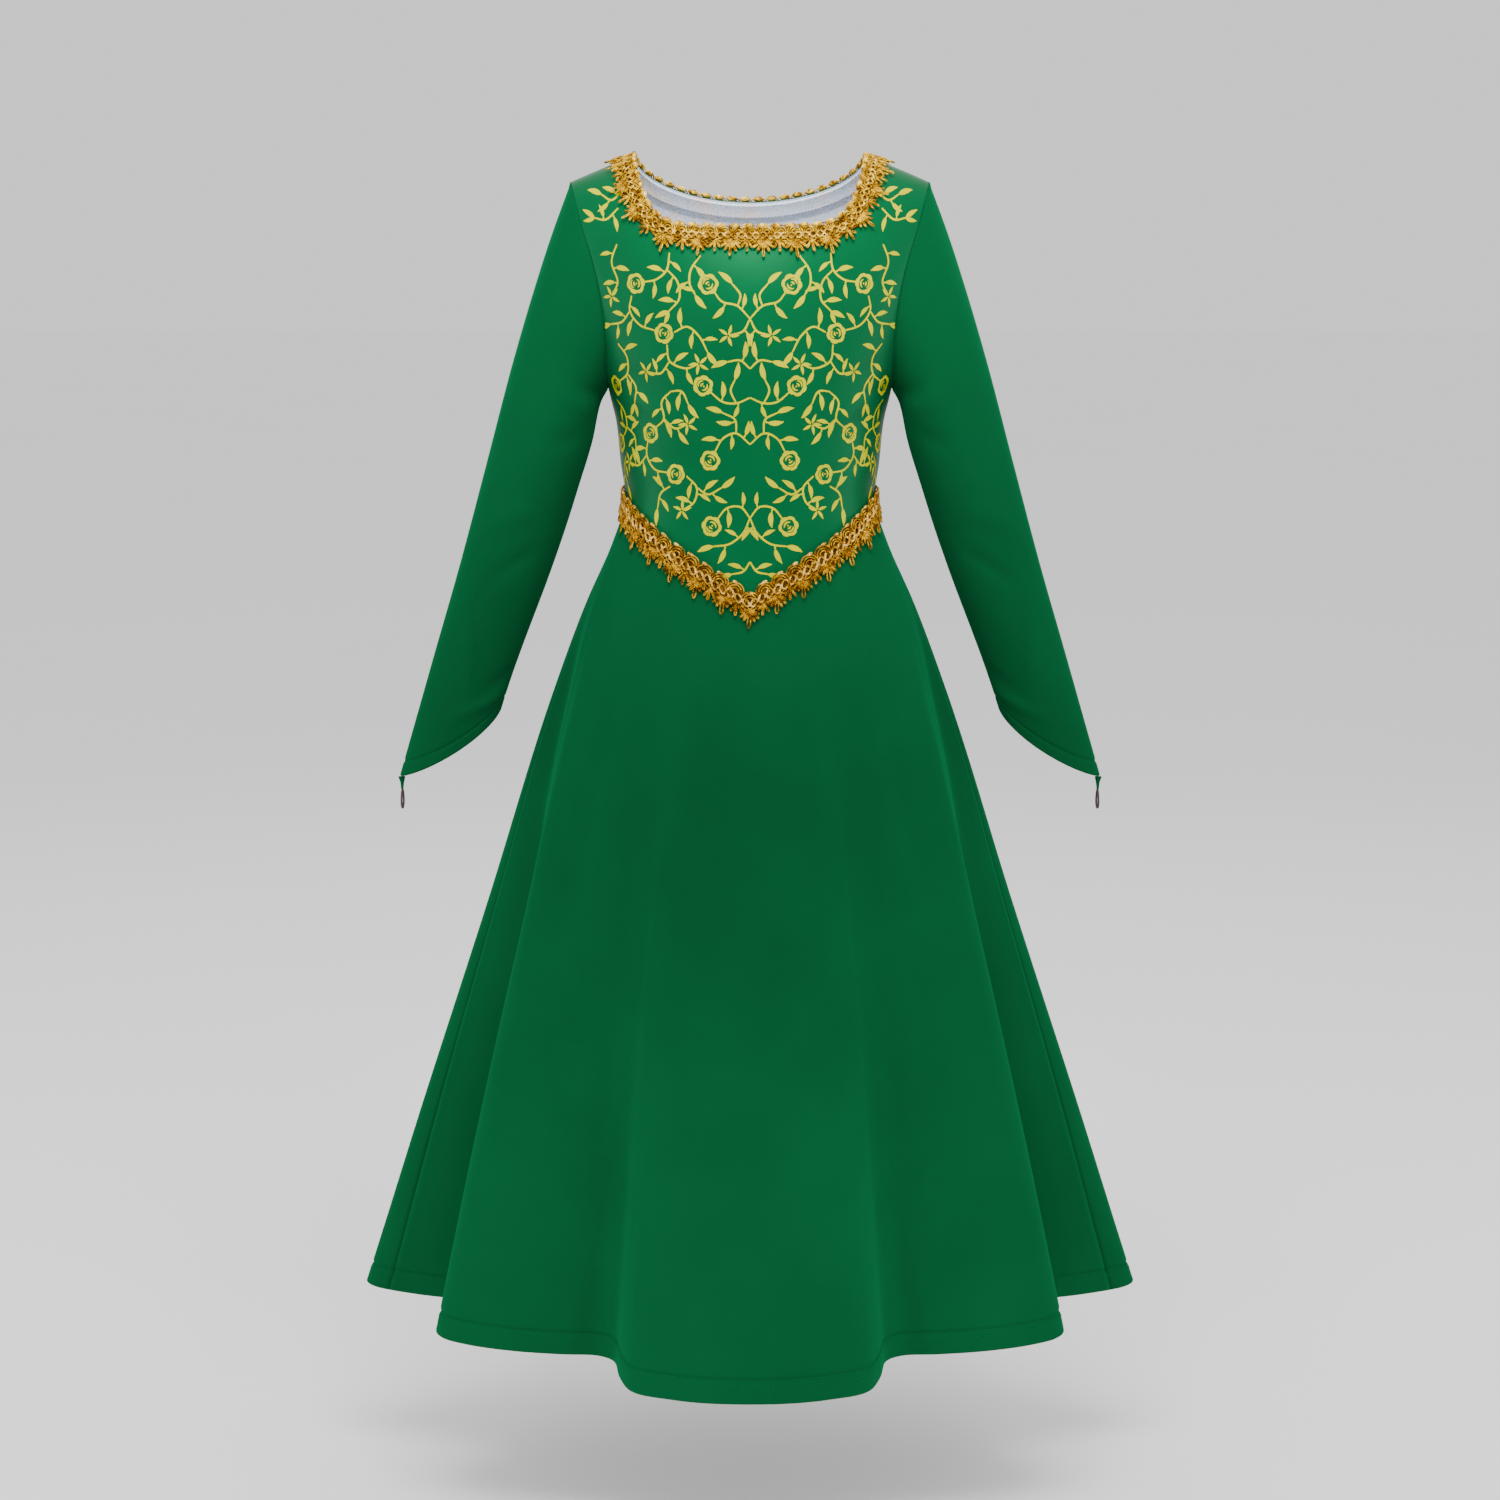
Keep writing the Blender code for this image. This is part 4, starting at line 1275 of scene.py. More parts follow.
@dataclass
class RosePrint:
    """The bodice's print: vines with roses, small blossoms and leaves, mirrored on the centre."""

    bodice: Bodice
    stroke: float = 0.00142
    leaf_length: float = 0.0118
    leaf_width: float = 0.0037
    petiole: float = 0.0026
    rose_radius: float = 0.0078
    petal_share: float = 0.62
    proud: float = 0.00016
    edge_share: float = 0.985
    above_seam: float = 0.002
    below_neck: float = 0.004
    least_face: float = 2e-9
    chart_from: float = 0.004
    chart_to: float = 0.336
    chart_half: int = 180
    chart_reach: float = 0.150
    chart_step: float = 0.001
    chart_drop: float = 0.002

    def chart(self, side: Side) -> tuple[Array, Array, Array]:
        """The angle round the bodice against flat distance across and height.

        Args:
            side: Front or back.

        Returns:
            Heights, distances across, and the angle for each pair of them.
        """
        downs = np.arange(self.chart_from, self.chart_to, self.chart_drop)
        across = np.arange(-self.chart_reach, self.chart_reach + self.chart_step, self.chart_step)
        share = np.linspace(-1, 1, 2 * self.chart_half + 1)
        angles = np.empty((len(downs), len(across)))
        for i, down in enumerate(downs):
            edge = float(FORM.bodice_edge(side, np.array([down]))[0][0])
            turn = share * edge
            length = lengths_along(FORM.bodice_face(side, turn, np.full_like(turn, down)))
            angles[i] = np.interp(across, length - length[self.chart_half], turn)
        return downs, across, angles

    def on_cloth(self, side: Side, flat: Array) -> Array:
        """Places on the bodice for places on the flat cloth.

        Args:
            side: Front or back.
            flat: Across and down, in metres.

        Returns:
            Points just proud of the cloth.
        """
        downs, across, angles = self.chart(side)
        i = np.clip((flat[:, 1] - downs[0]) / self.chart_drop, 0, len(downs) - 1.001)
        j = np.clip((flat[:, 0] - across[0]) / self.chart_step, 0, len(across) - 1.001)
        i0, j0 = i.astype(int), j.astype(int)
        fi, fj = i - i0, j - j0
        near = angles[i0, j0] * (1 - fj) + angles[i0, j0 + 1] * fj
        below = angles[i0 + 1, j0] * (1 - fj) + angles[i0 + 1, j0 + 1] * fj
        face = self.bodice.surface(side, near * (1 - fi) + below * fi, flat[:, 1])
        return face + self.bodice.direction(side, face) * self.proud

    @staticmethod
    def spline(path: Sequence[tuple[float, float]]) -> Array:
        """A smooth line through a vine's points, in metres."""
        p = np.array(path, dtype=float) / 1000
        p = np.vstack([2 * p[0] - p[1], p, 2 * p[-1] - p[-2]])
        parts = []
        for a, b, c, d in zip(p[:-3], p[1:-2], p[2:-1], p[3:]):
            t = np.linspace(0, 1, max(4, int(np.linalg.norm(c - b) / 0.0012)), endpoint=False)[:, None]
            square, cube = 2 * a - 5 * b + 4 * c - d, 3 * b - a - 3 * c + d
            parts.append((2 * b + (c - a) * t + square * t**2 + cube * t**3) / 2)
        return np.concatenate([*parts, p[-2][None]])

    @staticmethod
    def ribbon(line: Array, half_width: Array) -> Shape:
        """A flat strip along a line.

        Args:
            line: Points on the flat cloth.
            half_width: Half the strip's width at each.

        Returns:
            Points and faces.
        """
        way = unit(np.gradient(line, axis=0))
        aside = columns(-way[:, 1], way[:, 0]) * half_width[:, None]
        points = np.concatenate([line - aside, line, line + aside])
        n = len(line)
        i = np.arange(n - 1)
        faces = [columns(i + a, i + 1 + a, i + 1 + a + n, i + a + n) for a in (0, n)]
        return points, np.concatenate(faces)

    @staticmethod
    def bent(base: Array, heading: float, length: float, bend: float, count: int) -> Array:
        """A line that starts at a heading and bends as it goes."""
        angle = heading + bend * np.linspace(0, 1, count)
        steps = columns(np.cos(angle), np.sin(angle)) * length / (count - 1)
        return base + np.concatenate([[[0, 0]], np.cumsum(steps, axis=0)[:-1]])

    def blade(self, base: Array, heading: float, size: float, bend: float) -> Shape:
        """A pointed leaf without its stalk."""
        t = np.linspace(0, 1, 10)
        width = self.leaf_width * size / 2 * np.sin(math.pi * t**0.85) ** 0.85
        line = self.bent(base, heading, self.leaf_length * size, bend, 10)
        return self.ribbon(line, np.maximum(width, self.stroke / 6))

    def leaf(self, base: Array, heading: float, size: float, bend: float) -> list[Shape]:
        """A pointed leaf on a short stalk."""
        stalk = self.bent(base, heading - bend, self.petiole * size, bend * 0.6, 5)
        blade = self.blade(stalk[-1], heading - bend * 0.4, size, bend)
        return [self.ribbon(stalk, np.full(5, self.stroke * 0.42)), blade]

    def rose(self, centre: Array, heading: float) -> list[Shape]:
        """A round flower: a scalloped rim with curled petals inside it."""
        t = np.linspace(0, 2 * math.pi, 61)
        rim = self.rose_radius * (0.86 + 0.12 * np.abs(np.cos(t * 3)))
        inner = self.rose_radius * (0.62 + 0.05 * np.cos(t * 3))
        circle = columns(np.cos(t + heading), np.sin(t + heading))
        shapes = [self.ribbon(centre + circle * ((rim + inner) / 2)[:, None], (rim - inner) / 2)]
        ahead = np.array([math.cos(heading), math.sin(heading)])
        fade = self.stroke * (0.08 + 0.42 * np.sin(np.linspace(0.15, math.pi - 0.15, 13)))
        for start, reach, radius, shift in (
            (-1.1, 2.2, 0.40, 0.10),
            (-0.9, 1.8, 0.24, -0.06),
            (-0.7, 1.5, 0.10, -0.20),
            (2.0, 2.2, 0.42, 0.02),
        ):
            a = np.linspace(start, start + reach, 13) + heading
            curl = columns(np.cos(a), np.sin(a)) * radius + ahead * shift
            shapes.append(self.ribbon(centre + curl * self.rose_radius, fade))
        return shapes

    def blossom(self, centre: Array, heading: float) -> list[Shape]:
        """A small flower of five narrow petals."""
        turns = heading + 0.3 + np.arange(5) * 2 * math.pi / 5
        starts = centre + columns(np.cos(turns), np.sin(turns)) * self.stroke / 2
        return [self.blade(start, turn, self.petal_share, 0.25) for start, turn in zip(starts, turns)]

    def vine(self, vine: Vine, number: int) -> list[Shape]:
        """A vine with its leaves and what it ends in."""
        line = self.spline(vine.path)
        swell = np.sin(math.pi * np.linspace(0, 1, len(line)))
        shapes = [self.ribbon(line, self.stroke / 2 * (0.78 + 0.27 * swell))]
        way = unit(np.gradient(line, axis=0))
        heading = np.arctan2(way[:, 1], way[:, 0])
        for k in range(vine.leaves):
            at = int((k + 0.75) / (vine.leaves + 0.55) * (len(line) - 1))
            hand = 1 if (k + number) % 2 else -1
            lean = heading[at] + hand * (0.95 + 0.12 * ((k + number) % 3))
            shapes += self.leaf(line[at], lean, 0.82 + 0.10 * ((2 * k + number) % 3), -0.55 * hand)
        end, last = line[-1], heading[-1]
        if vine.tip is Tip.ROSE:
            shapes += self.rose(end + way[-1] * self.rose_radius * 0.9, last)
        elif vine.tip is Tip.BLOSSOM:
            shapes += self.blossom(end + way[-1] * self.stroke / 2, last)
        elif vine.tip is Tip.PAIR:
            shapes += [self.blade(end, last - 0.55, 1.0, 0.35), self.blade(end, last + 0.5, 0.85, -0.3)]
        else:
            shapes.append(self.blade(end, last, 1.1, 0.45))
        return shapes

    def on_panel(self, side: Side, corner: Array) -> Array:
        """Which faces lie on the panel, clear of its edges, and aren't too small to keep."""
        x, y, z = corner.mean(1).T
        seam = FORM.seam_down(np.degrees(np.arctan2(x, -y)))
        kept = (-z < seam - self.above_seam) & (-z > FORM.neck_down(side, x) + self.below_neck)
        twice = np.cross(corner[:, 2] - corner[:, 0], corner[:, 3] - corner[:, 1])
        kept &= np.linalg.norm(twice, axis=1) / 2 > self.least_face
        edge_angle, spread = FORM.bodice_edge(side, -z)
        return kept & (np.abs(x) < spread * np.sin(edge_angle * self.edge_share))

    def build(self, side: Side, finishes: Finishes) -> Object:
        """Makes the print of one panel.

        Args:
            side: Front or back.
            finishes: The materials.

        Returns:
            The print, a thin film that follows the cloth.
        """
        points, faces, start = [], [], 0
        for number, vine in enumerate(VINES):
            for shape_points, shape_faces in self.vine(vine, number):
                for hand in (1, -1):
                    points.append(shape_points * [hand, 1])
                    faces.append((shape_faces if hand > 0 else shape_faces[:, ::-1]) + start)
                    start += len(shape_points)
        flat, quads = np.concatenate(points), np.concatenate(faces)
        low, high = self.chart_from + self.chart_drop, self.chart_to - self.chart_drop
        flat[:, 1] = np.clip(flat[:, 1], low, high)
        place = self.on_cloth(side, flat)
        kept = self.on_panel(side, place[quads])
        quads = quads[kept][:, ::-1] if side is Side.FRONT else quads[kept]
        used, quads = np.unique(quads, return_inverse=True)
        name = f"print_{side.name.lower()}"
        made = mesh_object(name, place[used], quads.reshape(-1, 4), flat[used])
        made.data.materials.append(finishes.print_ink)
        return own(made, "printed_satin")


@dataclass
class Facing:
    """The turned-in band inside the back neck, with its row of stitches."""

    top: float = 0.0008
    width: float = 0.0115
    end: float = 0.002
    cloth: float = 0.0010
    clearance: float = 0.0012
    swell: float = 0.0004
    stitch_inset: float = 0.0012
    stitch_proud: float = 0.0001
    thread: Thread = Thread(pitch=0.0026, length=0.0021, thickness=0.0007)
    columns: int = 190
    rows_down: int = 10

    def build(self, finishes: Finishes, room: Workroom) -> None:
        """Makes the band and its stitches."""
        edge = NeckEdge()
        turn = np.linspace(0, 1, SAMPLES)
        ring = edge.ring(turn)
        inside = turn[(ring[:, 0] > 0) & (np.abs(ring[:, 1]) < FORM.neck_half - self.end)]
        along = np.linspace(inside[0], inside[-1], self.columns)
        widths = np.linspace(self.top, self.width, self.rows_down)
        sink = -(Bodice.cloth + self.clearance)
        lifts = sink + self.swell * np.sin(np.linspace(0, math.pi, self.rows_down))
        rows = np.stack([edge.place(along, np.full_like(along, w), up) for w, up in zip(widths, lifts)])
        wall = ClothWall("cloth_neck_facing", rows, np.array(self.cloth))
        own(wall.build(finishes.wrong_side, finishes.wrong_side), "facing_cloth", "neck_facing")
        low = np.full_like(along, self.width - self.stitch_inset)
        line = edge.place(along, low, sink - self.cloth - self.stitch_proud)
        coat = finishes.facing_thread
        room.sew("stitches_facing", "facing_cloth", [line], False, self.thread, coat)


class LaceEdge(ABC):
    """A line round the dress that lace is sewn along, and the cloth to both sides of it."""

    @abstractmethod
    def surface(self, turn: Array, width: Array) -> Array:
        """A point of the cloth: turn is 0 to 1 round the line, width the way out from it."""

    def length(self) -> float:
        """The line's length."""
        turn = np.linspace(0, 1, 2000)
        return float(lengths_along(self.surface(turn, np.zeros_like(turn)))[-1])

    def frame(self, turn: Array, width: Array) -> tuple[Array, Array]:
        """The cloth's normal and the way outwards from the line, at a place."""
        step, span = 0.0015, 0.0012
        across = self.surface(turn + step, width) - self.surface(turn - step, width)
        out = self.surface(turn, width + span) - self.surface(turn, width - span)
        normal = unit(np.cross(out, across))
        return normal, unit(out)

    def place(self, turn: Array, width: Array, lift: Array | float) -> Array:
        """A point above the cloth."""
        normal, _ = self.frame(turn, width)
        return self.surface(turn, width) + normal * np.broadcast_to(lift, turn.shape)[..., None]


class NeckEdge(LaceEdge):
    """The neck edge, from the right shoulder round the front to the left and behind."""

    ridge_reach = 0.45

    def __init__(self) -> None:
        """Works out even places round the edge."""
        q = np.linspace(0, 1, 1500)
        parts = []
        ridge = unit(np.array([1, FORM.shoulder_slope]))
        quarters = ((Side.FRONT, -1, 1), (Side.FRONT, 1, -1), (Side.BACK, 1, 1), (Side.BACK, -1, -1))
        for side, sign, order in quarters:
            x = FORM.neck_half * (1 - q * q)
            down = FORM.neck_down(side, x)
            out = unit(columns(np.gradient(down), -np.gradient(x)))
            blend = ease(1 - q / self.ridge_reach)
            out = unit(out * (1 - blend[:, None]) + ridge * blend[:, None])
            row = [side.value + 0 * x, sign * x, down, sign * out[:, 0], out[:, 1], blend]
            parts.append(np.stack(row, axis=-1)[::order])
        self.table = np.concatenate(parts)
        self.table_turn = lengths_along(self.points(self.table, 0 * self.table[:, 0]))
        self.table_turn /= self.table_turn[-1]

    def ring(self, turn: Array) -> Array:
        """Side, x, down, the way out and how near the shoulder, at a place round the edge."""
        turn = np.mod(turn, 1.0)
        found = [np.interp(turn, self.table_turn, column) for column in self.table.T]
        ring = np.stack(found, axis=-1)
        ring[..., 0] = np.where(ring[..., 0] < 0, -1, 1)
        return ring

    @staticmethod
    def points(ring: Array, width: Array) -> Array:
        """Points of the cloth this far out from the neck edge."""
        x = ring[..., 1] + ring[..., 3] * width
        straight = ring[..., 2] + ring[..., 4] * width
        along_ridge = ring[..., 2] + FORM.shoulder_drop(x) - FORM.shoulder_drop(ring[..., 1])
        down = straight + (along_ridge - straight) * ring[..., 5]
        down = np.maximum(down, FORM.shoulder_drop(x))
        ahead, behind = FORM.bodice_depth(Side.FRONT, x, down), FORM.bodice_depth(Side.BACK, x, down)
        return columns(x, np.where(ring[..., 0] < 0, -ahead, behind), -down)

    def surface(self, turn: Array, width: Array) -> Array:
        """A point of the bodice, out from the neck edge."""
        return self.points(self.ring(turn), width)


class WaistEdge(LaceEdge):
    """The waist seam, from the centre back round the right side and the front."""

    slant_window = 4.0
    radius = 0.09

    def __init__(self) -> None:
        """Works out even places along the seam."""
        self.angle = np.linspace(-180, 180, SAMPLES)
        line = FORM.waist_face(self.angle, FORM.seam_down(self.angle))
        self.turn = lengths_along(line)
        self.turn /= self.turn[-1]
        window = self.slant_window
        near = FORM.seam_down(self.angle + window) - FORM.seam_down(self.angle - window)
        slope = near / np.radians(2 * window) / self.radius
        self.stretch = np.sqrt(1 + slope**2)

    def surface(self, turn: Array, width: Array) -> Array:
        """A point of bodice or skirt, down from the seam."""
        turn = np.mod(turn, 1.0)
        angle = np.interp(turn, self.turn, self.angle)
        down = FORM.seam_down(angle) + width * np.interp(turn, self.turn, self.stretch)
        return FORM.waist_face(angle, down)


class Finger(NamedTuple):
    """A narrow loop of cord in a lace motif, lying flat, in millimetres and degrees."""

    heading: float
    length: float
    width: float
    lift: float


class Arc(NamedTuple):
    """An arch of cord in a lace motif, its crown towards the lace's upper edge, in millimetres."""

    half_width: float
    height: float
    lift: float


@dataclass(frozen=True)
class LaceSizes:
    """The sizes of one lace. Widths are measured outwards from the line that it is sewn along."""

    name: str
    fans: int
    upper: float
    header_to: float
    arch_pitch: float
    strand_radius: float
    cord_radius: float
    bead: tuple[float, float]
    fan: tuple[Finger, ...]
    small_fan: tuple[Finger, ...]
    arches: tuple[Arc, ...]
    clearance: float = 0.0007
    thickness: float = 0.0022


NECK_SIZES = LaceSizes(
    name="neck_lace",
    fans=24,
    upper=-0.0010,
    header_to=0.0110,
    arch_pitch=0.0100,
    strand_radius=0.00085,
    cord_radius=0.00060,
    bead=(0.0088, 0.0042),
    fan=(
        Finger(-74, 7.4, 1.9, 0.0),
        Finger(-52, 9.4, 1.8, 0.3),
        Finger(-27, 9.6, 1.9, 0.1),
        Finger(0, 13.0, 2.2, 0.5),
        Finger(27, 9.6, 1.9, 0.1),
        Finger(52, 9.4, 1.8, 0.3),
        Finger(74, 7.4, 1.9, 0.0),
        Finger(-14, 6.8, 1.7, 0.9),
        Finger(15, 6.4, 1.7, 0.9),
    ),
    small_fan=(
        Finger(-36, 7.2, 1.7, 0.2),
        Finger(-2, 9.2, 1.8, 0.4),
        Finger(34, 7.4, 1.7, 0.2),
    ),
    arches=(Arc(5.3, 6.2, 0.0), Arc(3.8, 4.4, 0.3), Arc(2.3, 2.6, 0.5)),
)

WAIST_SIZES = LaceSizes(
    name="waist_lace",
    fans=26,
    upper=-0.0115,
    header_to=0.0026,
    arch_pitch=0.0130,
    strand_radius=0.00100,
    cord_radius=0.00066,
    bead=(0.0056, 0.0024),
    fan=(
        Finger(-76, 7.6, 2.1, 0.0),
        Finger(-53, 9.2, 2.0, 0.3),
        Finger(-28, 9.0, 2.1, 0.1),
        Finger(0, 13.4, 4.2, 0.5),
        Finger(28, 9.0, 2.1, 0.1),
        Finger(53, 9.2, 2.0, 0.3),
        Finger(76, 7.6, 2.1, 0.0),
        Finger(-13, 6.4, 1.8, 1.0),
        Finger(13, 6.8, 1.8, 1.0),
    ),
    small_fan=(
        Finger(-38, 7.2, 1.9, 0.2),
        Finger(2, 9.0, 2.4, 0.4),
        Finger(35, 7.0, 1.9, 0.2),
    ),
    arches=(Arc(6.9, 6.6, 0.0), Arc(5.0, 4.8, 0.3), Arc(3.0, 2.9, 0.6)),
)


@dataclass
class Lace:
    """A gold lace: a net under the cords painted dark as the shade between them, a header of arches and
    wavy strands, and fans of looped cord.

    Each layer's lift is a share of the lace's thickness.
    """

    sizes: LaceSizes
    edge: LaceEdge
    gold: LaceGold
    slot: str
    columns_per_fan: int = 18
    ground_rows: int = 7
    ground_top: float = 0.0022
    ground_reach: float = 0.0018
    ground_scallop: float = 0.0016
    ground_ripple: float = 0.00020
    ground_share: float = 0.3
    ground_lift: float = 0.40
    motif_lift: float = 0.72
    bead_lift: float = 0.75
    bead_shift: float = 0.10
    strand_lift: float = 0.85
    strand_weave: float = 0.0004
    strand_step: float = 0.0011
    strand_twist: float = 0.0042
    fan_root: float = 0.0016
    crown_gap: float = 0.0006

    def ground(self) -> Object:
        """The narrow net under the cords, that everything is worked on, in the darker copy of the gold:
        painted shade showing between the cords.
        """
        sizes = self.sizes
        count = sizes.fans * self.columns_per_fan
        turn = np.arange(count) / count
        scallop = self.ground_scallop * np.cos(turn * sizes.fans * 2 * math.pi)
        reach = sizes.header_to + self.ground_reach + scallop
        top = sizes.upper + self.ground_top
        rows = []
        for share in np.linspace(0, 1, self.ground_rows):
            ripple = self.ground_ripple * np.sin(turn * count + share * 9)
            lift = self.lift(self.ground_lift) + ripple
            rows.append(self.edge.place(turn, top + (reach - top) * share, lift))
        thickness = np.array(sizes.thickness * self.ground_share)
        wall = ClothWall(f"{sizes.name}_ground", np.stack(rows), thickness, closed=True)
        return own(wall.build(self.gold.ground, self.gold.ground), self.slot, sizes.name)

    def lift(self, share: float) -> float:
        """How far a layer lies above the cloth."""
        return self.sizes.clearance + self.sizes.thickness * share

    def strand(self, share: float, swing: float, phase: float) -> Array:
        """A strand that waves along the header, over and under the others.

        Args:
            share: Where its middle lies, from 0 at the upper edge to 1 at the fans.
            swing: How far it swings to either side, as a share of the header.
            phase: Where in its swing it starts, in turns.

        Returns:
            The strand's points round the dress.
        """
        sizes, length = self.sizes, self.edge.length()
        waves = round(length / sizes.arch_pitch / 2) * 2
        turn = np.linspace(0, 1, int(length / self.strand_step), endpoint=False)
        wave = 2 * math.pi * (turn * waves + phase)
        uneven = 1 + 0.16 * np.sin(turn * 2 * math.pi * 11 + phase * 5)
        place = share + swing * np.sin(wave) * uneven
        width = sizes.upper + (sizes.header_to - sizes.upper) * place
        lift = self.lift(self.strand_lift) + self.strand_weave * np.cos(2 * wave)
        return self.edge.place(turn, width, lift)

    def header(self, room: Workroom) -> None:
        """The wavy strands: a pale pair in the middle, in the lighter copy of the gold as a painted
        highlight, and a thinner one along the fans.
        """
        for label, share, swing, radius, coat in (
            ("strands", 0.60, 0.19, self.sizes.strand_radius, self.gold.light),
            ("heading", 0.86, 0.10, self.sizes.cord_radius, self.gold.cords),
        ):
            lines = [self.strand(share, swing, 0.0), self.strand(share, swing, 0.5)]
            cord = {"Radius": radius, "Twist pitch": self.strand_twist}
            own(room.lay(f"{self.sizes.name}_{label}", lines, True, cord, coat), self.slot)

    @staticmethod
    def loops(fingers: Sequence[Finger]) -> list[Array]:
        """The closed lines of a motif's loops, from the origin along +Y."""
        t = np.linspace(0, 2 * math.pi, 18, endpoint=False)
        lines = []
        for finger in fingers:
            reach = finger.length * (1 - np.cos(t)) / 2
            aside = finger.width / 2 * np.sin(t) * (0.30 + 0.70 * np.sin(t / 2) ** 4)
            a = math.radians(finger.heading)
            x = aside * math.cos(a) + reach * math.sin(a)
            y = reach * math.cos(a) - aside * math.sin(a)
            z = finger.lift + 0.35 * np.sin(t * 2 + finger.heading)
            lines.append(columns(x, y, z) / 1000)
        return lines

    @staticmethod
    def arcs(arches: Sequence[Arc]) -> list[Array]:
        """The open lines of a motif's arches, their crowns towards -Y."""
        t = np.linspace(-0.12, math.pi + 0.12, 15)
        lines = []
        for arch in arches:
            x, y = arch.half_width * np.cos(t), -arch.height * np.sin(t)
            lines.append(columns(x, y, arch.lift + 0.3 * np.sin(t)) / 1000)
        return lines

    def repeat(
        self, room: Workroom, lines: Lines, closed: bool, turn: Array, width: float, label: str
    ) -> Object:
        """Sets a motif of cords at places along the edge.

        Args:
            room: The shared node trees.
            lines: The motif's lines, lying flat at the origin with +Y outwards.
            closed: Whether they are closed.
            turn: The places round the edge.
            width: How far out from the edge they lie.
            label: The piece's name after the lace's own.

        Returns:
            The joined piece.
        """
        cord = {"Radius": self.sizes.cord_radius}
        motif = room.lay("motif", lines, closed, cord, self.gold.cords)
        out = np.full_like(turn, width)
        points = self.edge.place(turn, out, self.lift(self.motif_lift))
        normal, way = self.edge.frame(turn, out)
        mesh = bpy.data.meshes.new("places")
        mesh.from_pydata(points.tolist(), [], [])
        for name, vectors in (("normal", normal), ("way_out", way)):
            store = mesh.attributes.new(name, "FLOAT_VECTOR", "POINT")
            store.data.foreach_set("vector", vectors.astype(np.float32).ravel())
        carrier = link(bpy.data.objects.new("places", mesh))
        values = {"Motif": motif, "Material": self.gold.cords}
        made = room.motifs.run(carrier, f"{self.sizes.name}_{label}", values)
        bpy.data.objects.remove(motif)
        return own(made, self.slot)

    def beads(self, room: Workroom, count: int) -> None:
        """A long bead of wound thread on each arch's crown, along the upper edge, in the lighter copy of
        the gold as a painted highlight.
        """
        sizes = self.sizes
        turn = np.arange(count) / count
        width = np.full_like(turn, sizes.upper + sizes.bead[1] * self.bead_shift)
        line = self.edge.place(turn, width, self.lift(self.bead_lift))
        length = float(lengths_along(np.vstack([line, line[:1]]))[-1])
        bead = Thread(length / count, *sizes.bead, roundness=2)
        room.sew(f"{sizes.name}_beads", self.slot, [line], True, bead, self.gold.light)

    def build(self, room: Workroom) -> None:
        """Makes the whole lace."""
        self.ground()
        self.header(room)
        sizes = self.sizes
        turn = np.arange(sizes.fans) / sizes.fans
        base = sizes.header_to - self.fan_root
        between = turn + 0.5 / sizes.fans
        self.repeat(room, self.loops(sizes.fan), True, turn, base, "fans")
        self.repeat(room, self.loops(sizes.small_fan), True, between, base, "small_fans")
        arches = round(self.edge.length() / sizes.arch_pitch / 2) * 2
        crown = sizes.upper + sizes.arches[0].height / 1000 - self.crown_gap
        even = np.arange(arches) / arches
        self.repeat(room, self.arcs(sizes.arches), False, even, crown, "arches")
        self.beads(room, arches)


@dataclass(frozen=True)
class Hem:
    """A turned hem: its depth, its close rows of points, and the groove along its stitches."""

    depth: float
    zone: float
    first: float
    rows: int
    groove: float
    groove_width: float
    roll: float = 0.0006
    roll_height: float = 0.0012

    def heights(self) -> Array:
        """How far above the edge each close row lies, down to the edge itself."""
        even = np.linspace(self.first, self.roll_height, self.rows)
        return np.concatenate([even, [0.0006, 0.0002, 0.0]])

    def sink(self, up: Array) -> Array:
        """How far the cloth sinks this high above its edge, in the groove and where it rolls in."""
        groove = self.groove * np.exp(-(((up - self.depth) / self.groove_width) ** 2))
        return groove + self.roll * np.clip(1 - up / self.roll_height, 0, 1) ** 2


